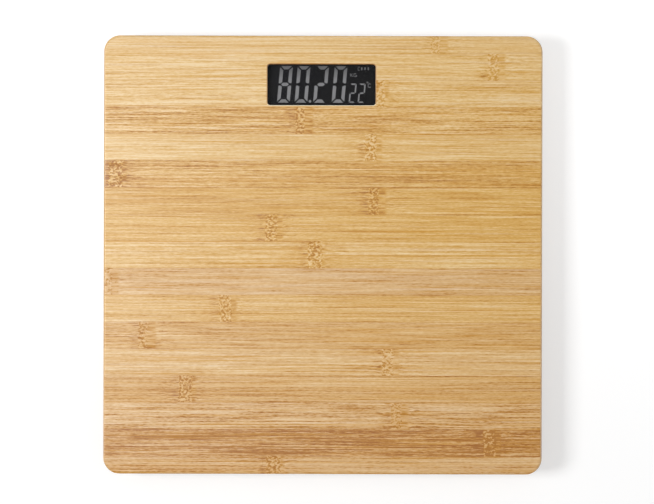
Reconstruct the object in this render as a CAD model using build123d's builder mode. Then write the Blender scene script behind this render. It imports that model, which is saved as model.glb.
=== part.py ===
from build123d import *
import os
from math import pi

# Digital bathroom scale: a laminated bamboo platform on four load-cell feet, with a
# backlit display set into its rear edge and the electronics and batteries in a module
# underneath. Millimetres. Origin: centre of the footprint on the floor. +Z is up, and
# +Y points to the display edge, away from the person who stands on the scale.

os.makedirs("parts", exist_ok=True)

# Platform
platform_side = 300.0
platform_corner_radius = 11.0
platform_edge_round = 1.5
ground_clearance = 9.0
foot_skin = 5.0
window_skin = 3.0

# Base panel, let into the underside of the platform
panel_thickness = 2.0
panel_rim = 5.0
panel_clearance = 0.3
panel_screw_inset = 7.0

# Display window and lens
window_width = 74.0
window_height = 28.0
window_corner_radius = 2.0
window_rim_round = 0.6
window_edge_distance = 19.6
window_offset_x = -1.2
lens_recess = 1.0
lens_clearance = 0.2
lens_flange_lip = 4.0
lens_flange_thickness = 1.2
gasket_thickness = 0.5
gasket_setback = 0.5

# Liquid crystal display stack
lens_air_gap = 0.3
polarizer_thickness = 0.2
polarizer_margin = 1.0
glass_thickness = 1.1
glass_side_margin = 2.0
glass_end_margin = 1.0
contact_ledge = 3.0
backlight_thickness = 1.7
backlight_gap = 0.5
led_length = 3.0
led_depth = 1.2
led_height = 1.6
zebra_width = 2.0
zebra_length = 62.0
frame_wall = 2.0
frame_clearance = 0.2

# Circuit board and what is soldered to it
board_thickness = 1.6
board_side_margin = 6.8
board_front_margin = 7.0
board_rear_margin = 0.6
board_screw_inset = 3.4
blob_diameter = 14.0
blob_height = 1.6
chip_length = 10.0
chip_width = 4.0
chip_height = 1.5
chip_leg_pitch = 1.27
chip_leg_width = 0.4
chip_leg_reach = 1.0
chip_legs_per_side = 7
crystal_length = 5.0
crystal_width = 3.2
crystal_height = 1.0
capacitor_length = 2.0
capacitor_width = 1.25
capacitor_height = 1.2
resistor_length = 1.6
resistor_width = 0.8
resistor_height = 0.5
thermistor_diameter = 2.4
switch_side = 6.0
switch_height = 1.8
switch_bore_depth = 1.5
plunger_diameter = 2.0
plunger_proud = 0.6
plunger_length = 1.5
plunger_clearance = 0.05

# Module housing
housing_floor = 1.6
housing_wall = 1.6
housing_clearance = 0.3
housing_corner_radius = 4.0
housing_edge_round = 1.0
housing_top_gap = 0.3
flange_side_lip = 8.0
flange_front_lip = 6.0
flange_rear_lip = 3.4
board_clearance = 0.5
boss_diameter = 5.0

# Batteries and contacts
cell_diameter = 10.5
cell_length = 44.5
cell_nub_diameter = 3.8
cell_nub_height = 1.0
cell_edge_round = 0.6
cell_headroom = 0.3
cell_rest_gap = 0.2
cell_spacing = 1.1
cell_side_gap = 0.7
contact_space = 2.5
contact_thickness = 0.4
contact_width = 8.0
contact_lift = 2.0
contact_bump_diameter = 5.0
rib_headroom = 2.0
lead_tab_width = 3.0
lead_tab_height = 1.6
lead_diameter = 1.2

# Battery door
door_side_gap = 0.8
door_clearance = 0.3
door_rear_ledge = 1.0
knuckle_radius = 1.2
hinge_setback = 1.6
pin_diameter = 1.4
pin_length = 2.0
pin_clearance = 0.05
lug_thickness = 3.2
lug_margin = 1.2
latch_width = 14.0
latch_height = 1.6
latch_thickness = 1.0
latch_nib = 0.1
latch_nib_height = 0.6
finger_scoop_radius = 7.0
finger_scoop_depth = 1.0
grip_rib_count = 3
grip_rib_pitch = 2.0
grip_rib_height = 0.3
grip_rib_width = 0.8

# Unit button
button_diameter = 8.0
button_gap = 0.2
button_proud = 0.6
button_flange_lip = 1.0
button_flange_thickness = 0.5
button_stem_diameter = 3.0
button_stem_length = 0.4

# Load cells, their brackets and the feet
load_cell_side = 34.0
load_cell_thickness = 2.0
load_cell_corner_radius = 5.0
load_cell_window = 23.0
load_cell_window_radius = 2.0
tongue_width = 9.0
tongue_pad_width = 15.0
tongue_pad_length = 11.0
seal_width = 8.0
seal_length = 6.0
seal_height = 1.2
seal_round = 0.4
bracket_lug = 8.7
bracket_plate = 2.0
bracket_clearance = 0.3
bracket_relief_gap = 1.2
load_cell_clearance = 0.2
clip_thickness = 1.0
clip_width = 8.0
clip_bite = 1.0
clip_seat = 1.0
foot_edge_margin = 12.0
foot_diameter = 42.0
foot_wall = 2.0
foot_floor = 1.8
foot_gap = 1.0
foot_travel = 0.6
foot_travel_gap = 0.4
foot_edge_round = 1.5
boss_pad_diameter = 10.0
foot_rib_count = 6
foot_rib_thickness = 1.4
foot_rib_height = 3.0
rivet_diameter = 4.0
rivet_clearance = 0.1
rivet_head_diameter = 6.5
rivet_head_height = 1.0
pad_diameter = 34.0
pad_proud = 1.2
pad_recess = 1.0
pad_clearance = 0.1
pad_edge_round = 0.4
pad_groove_depth = 0.5
pad_groove_width = 1.2
pad_groove_pitch = 4.0
pad_groove_count = 3

# Wiring
channel_width = 6.0
channel_bend_radius = 20.0
wire_diameter = 1.0
wire_pitch = 1.2
wire_bend_radius = 6.0
wire_lift = 0.05
wire_step = 2.0
front_run = 50.0
front_lead_margin = 4.4
pad_reach = 3.0
lead_bend_radius = 2.0
lead_run = 4.2
lead_spacing = 2.6

# Screws: head diameter, head height, shank diameter, and the clearance around the shank
panel_screw_head = 5.0
panel_screw_shank = 2.5
panel_screw_bite = 7.0
module_screw_head = 5.4
module_screw_head_height = 1.6
module_screw_shank = 2.8
module_screw_bite = 6.0
module_screw_seat = 1.0
bracket_screw_head = 5.0
bracket_screw_head_height = 1.5
bracket_screw_shank = 2.5
bracket_screw_tip_margin = 2.0
bracket_screw_recess = 1.0
board_screw_head = 4.0
board_screw_head_height = 1.2
board_screw_shank = 2.0
board_screw_bite = 2.6
screw_clearance = 0.1
cross_recess_width = 0.7
cross_recess_depth = 0.8
cross_recess_share = 0.6

# Heights of the platform and the foot assemblies, from the floor up
bracket_height = bracket_plate + load_cell_thickness + clip_thickness + clip_seat
platform_thickness = panel_thickness + bracket_height + foot_skin
underside_z = ground_clearance
top_z = underside_z + platform_thickness
panel_top_z = underside_z + panel_thickness
foot_pocket_ceiling_z = panel_top_z + bracket_height
load_cell_top_z = foot_pocket_ceiling_z - bracket_plate
load_cell_bottom_z = load_cell_top_z - load_cell_thickness
clip_bottom_z = load_cell_bottom_z - clip_thickness
foot_top_z = clip_bottom_z - foot_travel - foot_travel_gap
pad_top_z = pad_proud + pad_recess
foot_floor_top_z = pad_top_z + foot_floor

# Heights of the display stack and the module, from the platform's top down
pocket_ceiling_z = top_z - window_skin
lens_top_z = top_z - lens_recess
lens_flange_top_z = pocket_ceiling_z - gasket_thickness
lens_flange_bottom_z = lens_flange_top_z - lens_flange_thickness
front_glass_top_z = lens_flange_bottom_z - lens_air_gap - polarizer_thickness
rear_glass_top_z = front_glass_top_z - glass_thickness
backlight_top_z = rear_glass_top_z - glass_thickness
board_top_z = backlight_top_z - backlight_thickness
board_bottom_z = board_top_z - board_thickness
switch_bottom_z = board_bottom_z - switch_height
plunger_bottom_z = switch_bottom_z - plunger_proud
floor_top_z = min(
    pocket_ceiling_z - cell_headroom - cell_diameter - cell_rest_gap,
    plunger_bottom_z - button_flange_thickness - button_stem_length,
)
cell_centre_z = floor_top_z + cell_rest_gap + cell_diameter / 2
housing_bottom_z = floor_top_z - housing_floor
housing_top_z = pocket_ceiling_z - housing_top_gap
rib_top_z = pocket_ceiling_z - rib_headroom

# Plan sizes of the display stack, centred on the window
module_x = window_offset_x
display_y = platform_side / 2 - window_edge_distance - window_height / 2
lens_flange_width = window_width + 2 * lens_flange_lip
lens_flange_height = window_height + 2 * lens_flange_lip
glass_width = window_width + 2 * glass_side_margin
rear_glass_height = window_height + 2 * glass_end_margin
front_glass_height = rear_glass_height + 2 * contact_ledge
backlight_width = glass_width - 2 * (led_depth + backlight_gap)
backlight_height = rear_glass_height - 2 * backlight_gap
frame_inner_width = glass_width + 2 * frame_clearance
frame_inner_height = front_glass_height + 2 * frame_clearance
frame_width = frame_inner_width + 2 * frame_wall
frame_height = frame_inner_height + 2 * frame_wall

# Plan of the circuit board and the module housing
board_width = frame_width + 2 * board_side_margin
board_front_y = display_y - frame_height / 2 - board_front_margin
board_rear_y = display_y + frame_height / 2 + board_rear_margin
board_height = board_rear_y - board_front_y
board_y = (board_front_y + board_rear_y) / 2
cavity_width = board_width + 2 * board_clearance
cavity_rear_y = board_rear_y + board_clearance
partition_rear_y = board_front_y - board_clearance
bay_rear_y = partition_rear_y - housing_wall
bay_depth = 2 * (cell_diameter + cell_side_gap) + cell_spacing
bay_front_y = bay_rear_y - bay_depth
housing_width = cavity_width + 2 * housing_wall
housing_front_y = bay_front_y - housing_wall
housing_rear_y = cavity_rear_y + housing_wall
housing_height = housing_rear_y - housing_front_y
housing_y = (housing_front_y + housing_rear_y) / 2
pocket_width = housing_width + 2 * housing_clearance
pocket_height = housing_height + 2 * housing_clearance
flange_width = housing_width + 2 * flange_side_lip
flange_front_y = housing_front_y - flange_front_lip
flange_rear_y = housing_rear_y + flange_rear_lip
flange_height = flange_rear_y - flange_front_y
flange_y = (flange_front_y + flange_rear_y) / 2

# Plan of the battery bay and its door
front_cell_y = bay_front_y + cell_side_gap + cell_diameter / 2
rear_cell_y = bay_rear_y - cell_side_gap - cell_diameter / 2
rib_face_x = cell_length / 2 + contact_space
front_lead_offset = rib_face_x + lead_run + lead_spacing + front_lead_margin
door_width = 2 * (rib_face_x - door_side_gap)
hinge_y = bay_front_y + hinge_setback
hinge_z = housing_bottom_z + knuckle_radius
door_rear_y = bay_rear_y - door_rear_ledge - door_clearance
opening_front_y = hinge_y - knuckle_radius - door_clearance
opening_rear_y = door_rear_y + door_clearance
button_x = board_width / 2 - board_screw_inset - boss_diameter - button_diameter
button_y = display_y - rear_glass_height / 2

# Plan of the feet
bracket_diameter = load_cell_side + 2 * bracket_lug
foot_pocket_diameter = bracket_diameter + 2 * bracket_clearance
foot_centre = platform_side / 2 - foot_edge_margin - foot_pocket_diameter / 2
foot_hole_diameter = foot_diameter + 2 * foot_gap
relief_radius = load_cell_window / 2 + bracket_relief_gap
bracket_screw_radius = (load_cell_side + bracket_lug) / 2
seal_y = load_cell_window / 2 - seal_length / 2
rebate_side = platform_side - 2 * panel_rim
rebate_corner_radius = platform_corner_radius - panel_rim
panel_side = rebate_side - 2 * panel_clearance

# Each corner: its name, which side it stands on, and the turn that points the leads at the module
corners = [
    ("front_left", -1, -1, 0),
    ("front_right", 1, -1, 0),
    ("rear_left", -1, 1, -90),
    ("rear_right", 1, 1, 90),
]
foot_places = [
    (name, Location((side * foot_centre, end * foot_centre, 0), (0, 0, turn)))
    for name, side, end, turn in corners
]
foot_points = [(side * foot_centre, end * foot_centre) for _, side, end, _ in corners]

# Screw places in plan
panel_screw_far = panel_side / 2 - panel_screw_inset
panel_screw_gap_x = (flange_width / 2 + foot_centre - foot_pocket_diameter / 2) / 2
panel_screw_points = [
    *[(side * panel_screw_far, end * foot_centre / 2) for side in (-1, 1) for end in (-1, 1)],
    *[(side * panel_screw_gap_x, end * panel_screw_far) for side in (-1, 1) for end in (-1, 1)],
]
module_screw_x = housing_width / 2 + flange_side_lip / 2
module_screw_rows = [front_cell_y, board_front_y + board_screw_inset, board_rear_y - board_screw_inset]
module_screw_points = [(module_x + side * module_screw_x, y) for side in (-1, 1) for y in module_screw_rows]
board_screw_x = board_width / 2 - board_screw_inset
board_screw_points = [
    (module_x + side * board_screw_x, y)
    for side in (-1, 1)
    for y in (board_front_y + board_screw_inset, board_rear_y - board_screw_inset)
]
bracket_screw_bite = foot_skin - bracket_screw_tip_margin
bracket_screw_grip = bracket_plate + load_cell_thickness - bracket_screw_recess
panel_screw_head_height = (panel_screw_head - panel_screw_shank) / 2
module_screw_bearing_z = underside_z - module_screw_seat
pilot_clearance = screw_clearance / 2


def finish(builder, name):
    """Labels a finished sub-part and writes its STEP file."""
    builder.part.label = name
    export_step(builder.part, f"parts/{name}.step")


def level(z):
    """The horizontal plane at height z."""
    return Plane.XY.offset(z)


def block(width, height, thickness, x, y, z, mode=Mode.ADD):
    """A level block, centred at x, y and with its underside at height z, in the open sub-part."""
    with Locations((x, y, z)):
        Box(width, height, thickness, align=(Align.CENTER, Align.CENTER, Align.MIN), mode=mode)


def screw_shape(head, head_height, shank, length, countersunk=False):
    """One cross-headed screw that points up, with the bearing plane of its head at the origin."""
    hang = (Align.CENTER, Align.CENTER, Align.MAX)
    stand = (Align.CENTER, Align.CENTER, Align.MIN)
    with BuildPart() as screw:
        if countersunk:
            Cone(head / 2, shank / 2, head_height, align=hang)
        else:
            Cylinder(head / 2, head_height, align=hang)
            fillet(screw.edges().sort_by(Axis.Z)[0], head_height / 3)
        Cylinder(shank / 2, length - shank / 2, align=stand)
        with Locations((0, 0, length - shank / 2)):
            Cone(shank / 2, shank / 8, shank / 2, align=stand)
        with BuildSketch(level(-head_height)):
            Rectangle(cross_recess_share * head, cross_recess_width)
            Rectangle(cross_recess_width, cross_recess_share * head)
        extrude(amount=cross_recess_depth, mode=Mode.SUBTRACT)
    return screw.part


def screw_group(shape, points, z, turn=0):
    """Copies of a screw at plan points, with their bearing planes at height z."""
    with BuildPart() as group:
        with Locations(*[Location((x, y, z), (turn, 0, 0)) for x, y in points]):
            add(shape)
    return group


def place_at_corners(shape, name):
    """One copy of a foot-assembly piece at each corner, each saved as a sub-part of its own."""
    for corner, place in foot_places:
        with BuildPart() as placed:
            with Locations(place):
                add(shape)
        finish(placed, f"{name}_{corner}")


# Routes of the load-cell leads in plan, from each foot to the module
def lead_route(side, end):
    """Plan points of the leads' centre line from a foot's centre to its pads on the circuit board."""
    start = (side * foot_centre, end * foot_centre)
    if end > 0:
        return [start, (module_x + side * (board_width / 2 - pad_reach), start[1])]
    lead_x = module_x + side * front_lead_offset
    turn_in = (start[0], start[1] + front_run)
    turn_out = (lead_x, housing_front_y - front_run / 3)
    return [start, turn_in, turn_out, (lead_x, board_front_y + pad_reach)]


lead_routes = [lead_route(side, end) for _, side, end, _ in corners]

# Bamboo platform
with BuildPart() as platform:
    with BuildSketch(level(underside_z)):
        RectangleRounded(platform_side, platform_side, platform_corner_radius)
    extrude(amount=platform_thickness)
    outer_faces = platform.faces().sort_by(Axis.Z)
    fillet(outer_faces[-1].edges() + outer_faces[0].edges(), platform_edge_round)
    with BuildSketch(level(underside_z)):
        RectangleRounded(rebate_side, rebate_side, rebate_corner_radius)
    extrude(amount=panel_thickness, mode=Mode.SUBTRACT)
    with BuildSketch(level(panel_top_z)):
        with Locations((module_x, housing_y)):
            RectangleRounded(pocket_width, pocket_height, housing_corner_radius)
    extrude(amount=pocket_ceiling_z - panel_top_z, mode=Mode.SUBTRACT)
    with BuildSketch(level(pocket_ceiling_z)):
        with Locations((module_x, display_y)):
            RectangleRounded(window_width, window_height, window_corner_radius)
    extrude(amount=window_skin, mode=Mode.SUBTRACT)
    top_face = platform.faces().sort_by(Axis.Z)[-1]
    fillet(top_face.inner_wires()[0].edges(), window_rim_round)
    with BuildSketch(level(panel_top_z)):
        with Locations(*foot_points):
            Circle(foot_pocket_diameter / 2)
    extrude(amount=bracket_height, mode=Mode.SUBTRACT)
    for route in lead_routes:
        with BuildSketch(level(panel_top_z)):
            with BuildLine():
                if len(route) == 2:
                    Line(*route)
                else:
                    FilletPolyline(*route, radius=channel_bend_radius)
            trace(line_width=channel_width)
        extrude(amount=bracket_height, mode=Mode.SUBTRACT)
    with BuildSketch(level(panel_top_z)):
        with Locations(*panel_screw_points):
            Circle(panel_screw_shank / 2 + pilot_clearance)
    extrude(amount=panel_screw_bite + pilot_clearance, mode=Mode.SUBTRACT)
    with BuildSketch(level(panel_top_z)):
        with Locations(*module_screw_points):
            Circle(module_screw_shank / 2 + pilot_clearance)
    extrude(amount=module_screw_bite + pilot_clearance, mode=Mode.SUBTRACT)
    with BuildSketch(level(foot_pocket_ceiling_z)):
        with Locations(*[place for _, place in foot_places]):
            with Locations((-bracket_screw_radius, 0), (bracket_screw_radius, 0)):
                Circle(bracket_screw_shank / 2 + pilot_clearance)
    extrude(amount=bracket_screw_bite + pilot_clearance, mode=Mode.SUBTRACT)
finish(platform, "bamboo_platform")

# Base panel
with BuildPart() as panel:
    with BuildSketch(level(underside_z)):
        RectangleRounded(panel_side, panel_side, rebate_corner_radius - panel_clearance)
        with Locations(*foot_points):
            Circle(foot_hole_diameter / 2, mode=Mode.SUBTRACT)
        with Locations((module_x, housing_y)):
            RectangleRounded(pocket_width, pocket_height, housing_corner_radius, mode=Mode.SUBTRACT)
        with Locations(*module_screw_points):
            Circle(module_screw_shank / 2 + screw_clearance, mode=Mode.SUBTRACT)
    extrude(amount=panel_thickness)
    with Locations(*[Plane((x, y, underside_z), z_dir=(0, 0, -1)) for x, y in panel_screw_points]):
        CounterSinkHole(
            panel_screw_shank / 2 + screw_clearance,
            panel_screw_head / 2 + screw_clearance,
            panel_thickness,
            counter_sink_angle=90,
        )
finish(panel, "base_panel")

panel_screw = screw_shape(
    panel_screw_head,
    panel_screw_head_height,
    panel_screw_shank,
    panel_thickness - panel_screw_head_height + panel_screw_bite,
    countersunk=True,
)
panel_screws = screw_group(panel_screw, panel_screw_points, underside_z + panel_screw_head_height)
finish(panel_screws, "base_panel_screws")

# Lens and its gasket
with BuildPart() as lens:
    with BuildSketch(level(lens_flange_bottom_z)):
        with Locations((module_x, display_y)):
            RectangleRounded(lens_flange_width, lens_flange_height, window_corner_radius)
    extrude(amount=lens_flange_thickness)
    with BuildSketch(level(lens_flange_top_z)):
        with Locations((module_x, display_y)):
            RectangleRounded(
                window_width - 2 * lens_clearance,
                window_height - 2 * lens_clearance,
                window_corner_radius - lens_clearance,
            )
    extrude(amount=lens_top_z - lens_flange_top_z)
finish(lens, "display_lens")

with BuildPart() as gasket:
    with BuildSketch(level(lens_flange_top_z)):
        with Locations((module_x, display_y)):
            RectangleRounded(lens_flange_width, lens_flange_height, window_corner_radius)
            RectangleRounded(
                window_width + 2 * gasket_setback,
                window_height + 2 * gasket_setback,
                window_corner_radius,
                mode=Mode.SUBTRACT,
            )
    extrude(amount=gasket_thickness)
finish(gasket, "lens_gasket")

# Liquid crystal display stack
with BuildPart() as polarizer:
    block(
        window_width + 2 * polarizer_margin,
        window_height + 2 * polarizer_margin,
        polarizer_thickness,
        module_x,
        display_y,
        front_glass_top_z,
    )
finish(polarizer, "lcd_polarizer")

with BuildPart() as front_glass:
    block(glass_width, front_glass_height, glass_thickness, module_x, display_y, rear_glass_top_z)
finish(front_glass, "lcd_front_glass")

with BuildPart() as rear_glass:
    block(glass_width, rear_glass_height, glass_thickness, module_x, display_y, backlight_top_z)
finish(rear_glass, "lcd_rear_glass")

with BuildPart() as backlight:
    block(backlight_width, backlight_height, backlight_thickness, module_x, display_y, board_top_z)
finish(backlight, "backlight_guide")

led_x = (backlight_width + backlight_gap + led_depth) / 2
led_pitch = backlight_height / 3
with BuildPart() as leds:
    with Locations((module_x, display_y, board_top_z)):
        with GridLocations(2 * led_x, led_pitch, 2, 3):
            Box(led_depth, led_length, led_height, align=(Align.CENTER, Align.CENTER, Align.MIN))
finish(leds, "backlight_leds")

zebra_offset = (rear_glass_height + contact_ledge) / 2
with BuildPart() as zebra:
    for end in (-1, 1):
        block(
            zebra_length,
            zebra_width,
            rear_glass_top_z - board_top_z,
            module_x,
            display_y + end * zebra_offset,
            board_top_z,
        )
finish(zebra, "zebra_strips")

with BuildPart() as lcd_frame:
    frame_depth = lens_flange_bottom_z - board_top_z
    block(frame_width, frame_height, frame_depth, module_x, display_y, board_top_z)
    block(
        frame_inner_width, frame_inner_height, frame_depth, module_x, display_y, board_top_z, Mode.SUBTRACT
    )
finish(lcd_frame, "lcd_frame")

# Circuit board
with BuildPart() as board:
    block(board_width, board_height, board_thickness, module_x, board_y, board_bottom_z)
    with BuildSketch(level(board_bottom_z)):
        with Locations(*board_screw_points):
            Circle(board_screw_shank / 2 + screw_clearance)
    extrude(amount=board_thickness, mode=Mode.SUBTRACT)
finish(board, "circuit_board")

board_screw = screw_shape(
    board_screw_head, board_screw_head_height, board_screw_shank, board_thickness + board_screw_bite
)
board_screws = screw_group(board_screw, board_screw_points, board_top_z, turn=180)
finish(board_screws, "circuit_board_screws")

# Components under the circuit board
blob_x = module_x - chip_length
part_y = display_y
with BuildPart() as blob:
    with BuildSketch(Plane((blob_x, part_y, board_bottom_z), x_dir=(1, 0, 0), z_dir=(0, -1, 0))):
        with BuildLine():
            EllipticalCenterArc((0, 0), blob_diameter / 2, blob_height, 270, arc_size=90)
            Polyline((blob_diameter / 2, 0), (0, 0), (0, -blob_height))
        make_face()
    revolve(axis=Axis((blob_x, part_y, 0), (0, 0, 1)))
finish(blob, "processor_blob")

chip_x = blob_x + blob_diameter / 2 + chip_length
leg_thickness = chip_height / 6
with BuildPart() as chip:
    block(
        chip_length,
        chip_width,
        chip_height - leg_thickness / 2,
        chip_x,
        part_y,
        board_bottom_z - chip_height,
    )
    with Locations((chip_x, part_y, board_bottom_z)):
        with GridLocations(chip_leg_pitch, 0, chip_legs_per_side, 1):
            Box(
                chip_leg_width,
                chip_width + 2 * chip_leg_reach,
                leg_thickness,
                align=(Align.CENTER, Align.CENTER, Align.MAX),
            )
finish(chip, "converter_chip")

crystal_x = blob_x - blob_diameter / 2 - crystal_length
with BuildPart() as crystal:
    block(crystal_length, crystal_width, crystal_height, crystal_x, part_y, board_bottom_z - crystal_height)
    fillet(crystal.edges().filter_by(Axis.Z), crystal_width / 8)
finish(crystal, "clock_crystal")

passive_row_y = part_y + blob_diameter / 2 + 2 * capacitor_length
with BuildPart() as capacitors:
    with Locations((blob_x, passive_row_y, board_bottom_z)):
        with GridLocations(3 * capacitor_width, 0, 5, 1):
            Box(
                capacitor_width,
                capacitor_length,
                capacitor_height,
                align=(Align.CENTER, Align.CENTER, Align.MAX),
            )
finish(capacitors, "chip_capacitors")

with BuildPart() as resistors:
    with Locations((chip_x, passive_row_y, board_bottom_z)):
        with GridLocations(3 * resistor_width, 0, 6, 1):
            Box(
                resistor_width,
                resistor_length,
                resistor_height,
                align=(Align.CENTER, Align.CENTER, Align.MAX),
            )
finish(resistors, "chip_resistors")

thermistor_x = module_x - (board_width / 2 - board_screw_inset - boss_diameter - thermistor_diameter)
thermistor_leg = thermistor_diameter / 4
with BuildPart() as thermistor:
    with Locations((thermistor_x, part_y, board_bottom_z - thermistor_leg - thermistor_diameter / 2)):
        Sphere(thermistor_diameter / 2)
    with Locations((thermistor_x, part_y, board_bottom_z)):
        with GridLocations(thermistor_diameter / 2, 0, 2, 1):
            Cylinder(
                thermistor_leg / 3,
                thermistor_leg + thermistor_diameter / 2,
                align=(Align.CENTER, Align.CENTER, Align.MAX),
            )
finish(thermistor, "thermistor")

button_place = (module_x + button_x, button_y)
with BuildPart() as switch:
    block(switch_side, switch_side, switch_height, *button_place, switch_bottom_z)
    with BuildSketch(level(switch_bottom_z)):
        with Locations(button_place):
            Circle(plunger_diameter / 2 + plunger_clearance)
    extrude(amount=switch_bore_depth, mode=Mode.SUBTRACT)
finish(switch, "unit_switch")

with BuildPart() as plunger:
    with BuildSketch(level(plunger_bottom_z)):
        with Locations(button_place):
            Circle(plunger_diameter / 2)
    extrude(amount=plunger_length)
finish(plunger, "switch_plunger")

# Module housing
with BuildPart() as housing:
    with BuildSketch(level(housing_bottom_z)):
        with Locations((module_x, flange_y)):
            RectangleRounded(flange_width, flange_height, housing_corner_radius)
    extrude(amount=underside_z - housing_bottom_z)
    fillet(housing.faces().sort_by(Axis.Z)[0].edges(), housing_edge_round)
    with BuildSketch(level(underside_z)):
        with Locations((module_x, housing_y)):
            RectangleRounded(housing_width, housing_height, housing_corner_radius - housing_clearance)
    extrude(amount=housing_top_z - underside_z)
    cavity_depth = housing_top_z - floor_top_z
    cavity_height = cavity_rear_y - partition_rear_y
    cavity_y = (cavity_rear_y + partition_rear_y) / 2
    bay_y = (bay_front_y + bay_rear_y) / 2
    block(cavity_width, cavity_height, cavity_depth, module_x, cavity_y, floor_top_z, Mode.SUBTRACT)
    block(cavity_width, bay_depth, cavity_depth, module_x, bay_y, floor_top_z, Mode.SUBTRACT)
    # Posts for the circuit board
    with BuildSketch(level(floor_top_z)):
        with Locations(*board_screw_points):
            Circle(boss_diameter / 2)
            Circle(board_screw_shank / 2 + pilot_clearance, mode=Mode.SUBTRACT)
    extrude(amount=board_bottom_z - floor_top_z)
    # End ribs of the battery bay
    for side in (-1, 1):
        block(
            housing_wall,
            bay_depth,
            rib_top_z - floor_top_z,
            module_x + side * (rib_face_x + housing_wall / 2),
            bay_y,
            floor_top_z,
        )
    # Lugs for the door's pins
    lug_half = pin_diameter / 2 + lug_margin
    lug_x = door_width / 2 + door_clearance + lug_thickness / 2
    for side in (-1, 1):
        block(
            lug_thickness,
            2 * lug_half,
            hinge_z + lug_half - floor_top_z,
            module_x + side * lug_x,
            hinge_y,
            floor_top_z,
        )
    # Door opening, and the bores for its pins
    block(
        door_width + 2 * door_clearance,
        opening_rear_y - opening_front_y,
        housing_floor,
        module_x,
        (opening_front_y + opening_rear_y) / 2,
        housing_bottom_z,
        Mode.SUBTRACT,
    )
    with Locations(Location((module_x, hinge_y, hinge_z), (0, 90, 0))):
        Cylinder(
            pin_diameter / 2 + pin_clearance, door_width + 2 * (pin_length + door_clearance), mode=Mode.SUBTRACT
        )
    # Finger scoop beside the door
    with BuildSketch(level(housing_bottom_z)):
        with Locations((module_x, opening_rear_y)):
            Circle(finger_scoop_radius)
    extrude(amount=finger_scoop_depth, mode=Mode.SUBTRACT)
    # Button hole
    with BuildSketch(level(housing_bottom_z)):
        with Locations(button_place):
            Circle(button_diameter / 2 + button_gap)
    extrude(amount=housing_floor, mode=Mode.SUBTRACT)
    # Notches for the wiring
    notch_depth = housing_top_z - panel_top_z
    for side in (-1, 1):
        block(
            3 * housing_wall,
            channel_width,
            notch_depth,
            module_x + side * (housing_width - housing_wall) / 2,
            foot_centre,
            panel_top_z,
            Mode.SUBTRACT,
        )
        block(
            channel_width,
            housing_height - cavity_height,
            notch_depth,
            module_x + side * front_lead_offset,
            housing_front_y + (housing_height - cavity_height) / 2 - housing_wall,
            panel_top_z,
            Mode.SUBTRACT,
        )
    notch_x = module_x + rib_face_x + lead_run + lead_spacing / 2
    block(
        2 * lead_spacing + lead_diameter,
        3 * housing_wall,
        notch_depth,
        notch_x,
        (bay_rear_y + partition_rear_y) / 2,
        panel_top_z,
        Mode.SUBTRACT,
    )
    # Screw holes in the flange
    with BuildSketch(level(housing_bottom_z)):
        with Locations(*module_screw_points):
            Circle(module_screw_shank / 2 + screw_clearance)
    extrude(amount=underside_z - housing_bottom_z, mode=Mode.SUBTRACT)
    with BuildSketch(level(housing_bottom_z)):
        with Locations(*module_screw_points):
            Circle(module_screw_head / 2 + screw_clearance)
    extrude(amount=module_screw_bearing_z - housing_bottom_z, mode=Mode.SUBTRACT)
finish(housing, "module_housing")

module_screw = screw_shape(
    module_screw_head,
    module_screw_head_height,
    module_screw_shank,
    panel_top_z - module_screw_bearing_z + module_screw_bite,
)
module_screws = screw_group(module_screw, module_screw_points, module_screw_bearing_z)
finish(module_screws, "module_screws")

# Unit button
with BuildPart() as button:
    with BuildSketch(level(housing_bottom_z - button_proud)):
        with Locations(button_place):
            Circle(button_diameter / 2)
    extrude(amount=floor_top_z - housing_bottom_z + button_proud)
    fillet(button.edges().sort_by(Axis.Z)[0], button_proud / 2)
    with BuildSketch(level(floor_top_z)):
        with Locations(button_place):
            Circle(button_diameter / 2 + button_flange_lip)
    extrude(amount=button_flange_thickness)
    with BuildSketch(level(floor_top_z + button_flange_thickness)):
        with Locations(button_place):
            Circle(button_stem_diameter / 2)
    extrude(amount=plunger_bottom_z - floor_top_z - button_flange_thickness)
finish(button, "unit_button")

# Battery door
with BuildPart() as door:
    block(
        door_width,
        door_rear_y - hinge_y,
        housing_floor,
        module_x,
        (hinge_y + door_rear_y) / 2,
        housing_bottom_z,
    )
    with Locations(Location((module_x, hinge_y, hinge_z), (0, 90, 0))):
        Cylinder(knuckle_radius, door_width)
        Cylinder(pin_diameter / 2, door_width + 2 * pin_length)
    block(
        latch_width,
        latch_thickness,
        latch_height,
        module_x,
        door_rear_y - latch_thickness / 2,
        floor_top_z,
    )
    block(
        latch_width,
        latch_thickness + latch_nib,
        latch_nib_height,
        module_x,
        door_rear_y - (latch_thickness - latch_nib) / 2,
        floor_top_z + latch_height - latch_nib_height,
    )
    for step in range(grip_rib_count):
        block(
            latch_width,
            grip_rib_width,
            grip_rib_height,
            module_x,
            door_rear_y - (step + 1) * grip_rib_pitch,
            housing_bottom_z - grip_rib_height,
        )
finish(door, "battery_door")

# Batteries
with BuildPart() as cell:
    Cylinder(
        cell_diameter / 2,
        cell_length - cell_nub_height,
        align=(Align.CENTER, Align.CENTER, Align.MIN),
    )
    fillet(cell.edges().filter_by(GeomType.CIRCLE), cell_edge_round)
    with Locations((0, 0, cell_length - cell_nub_height)):
        Cylinder(cell_nub_diameter / 2, cell_nub_height, align=(Align.CENTER, Align.CENTER, Align.MIN))
for name, cell_y, side in (("front", front_cell_y, 1), ("rear", rear_cell_y, -1)):
    with BuildPart() as placed_cell:
        with Locations(Location((module_x - side * cell_length / 2, cell_y, cell_centre_z), (0, side * 90, 0))):
            add(cell.part)
    finish(placed_cell, f"battery_cell_{name}")

# Battery contacts
contact_reach = contact_space - contact_thickness
contact_bottom_z = floor_top_z + contact_lift


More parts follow.
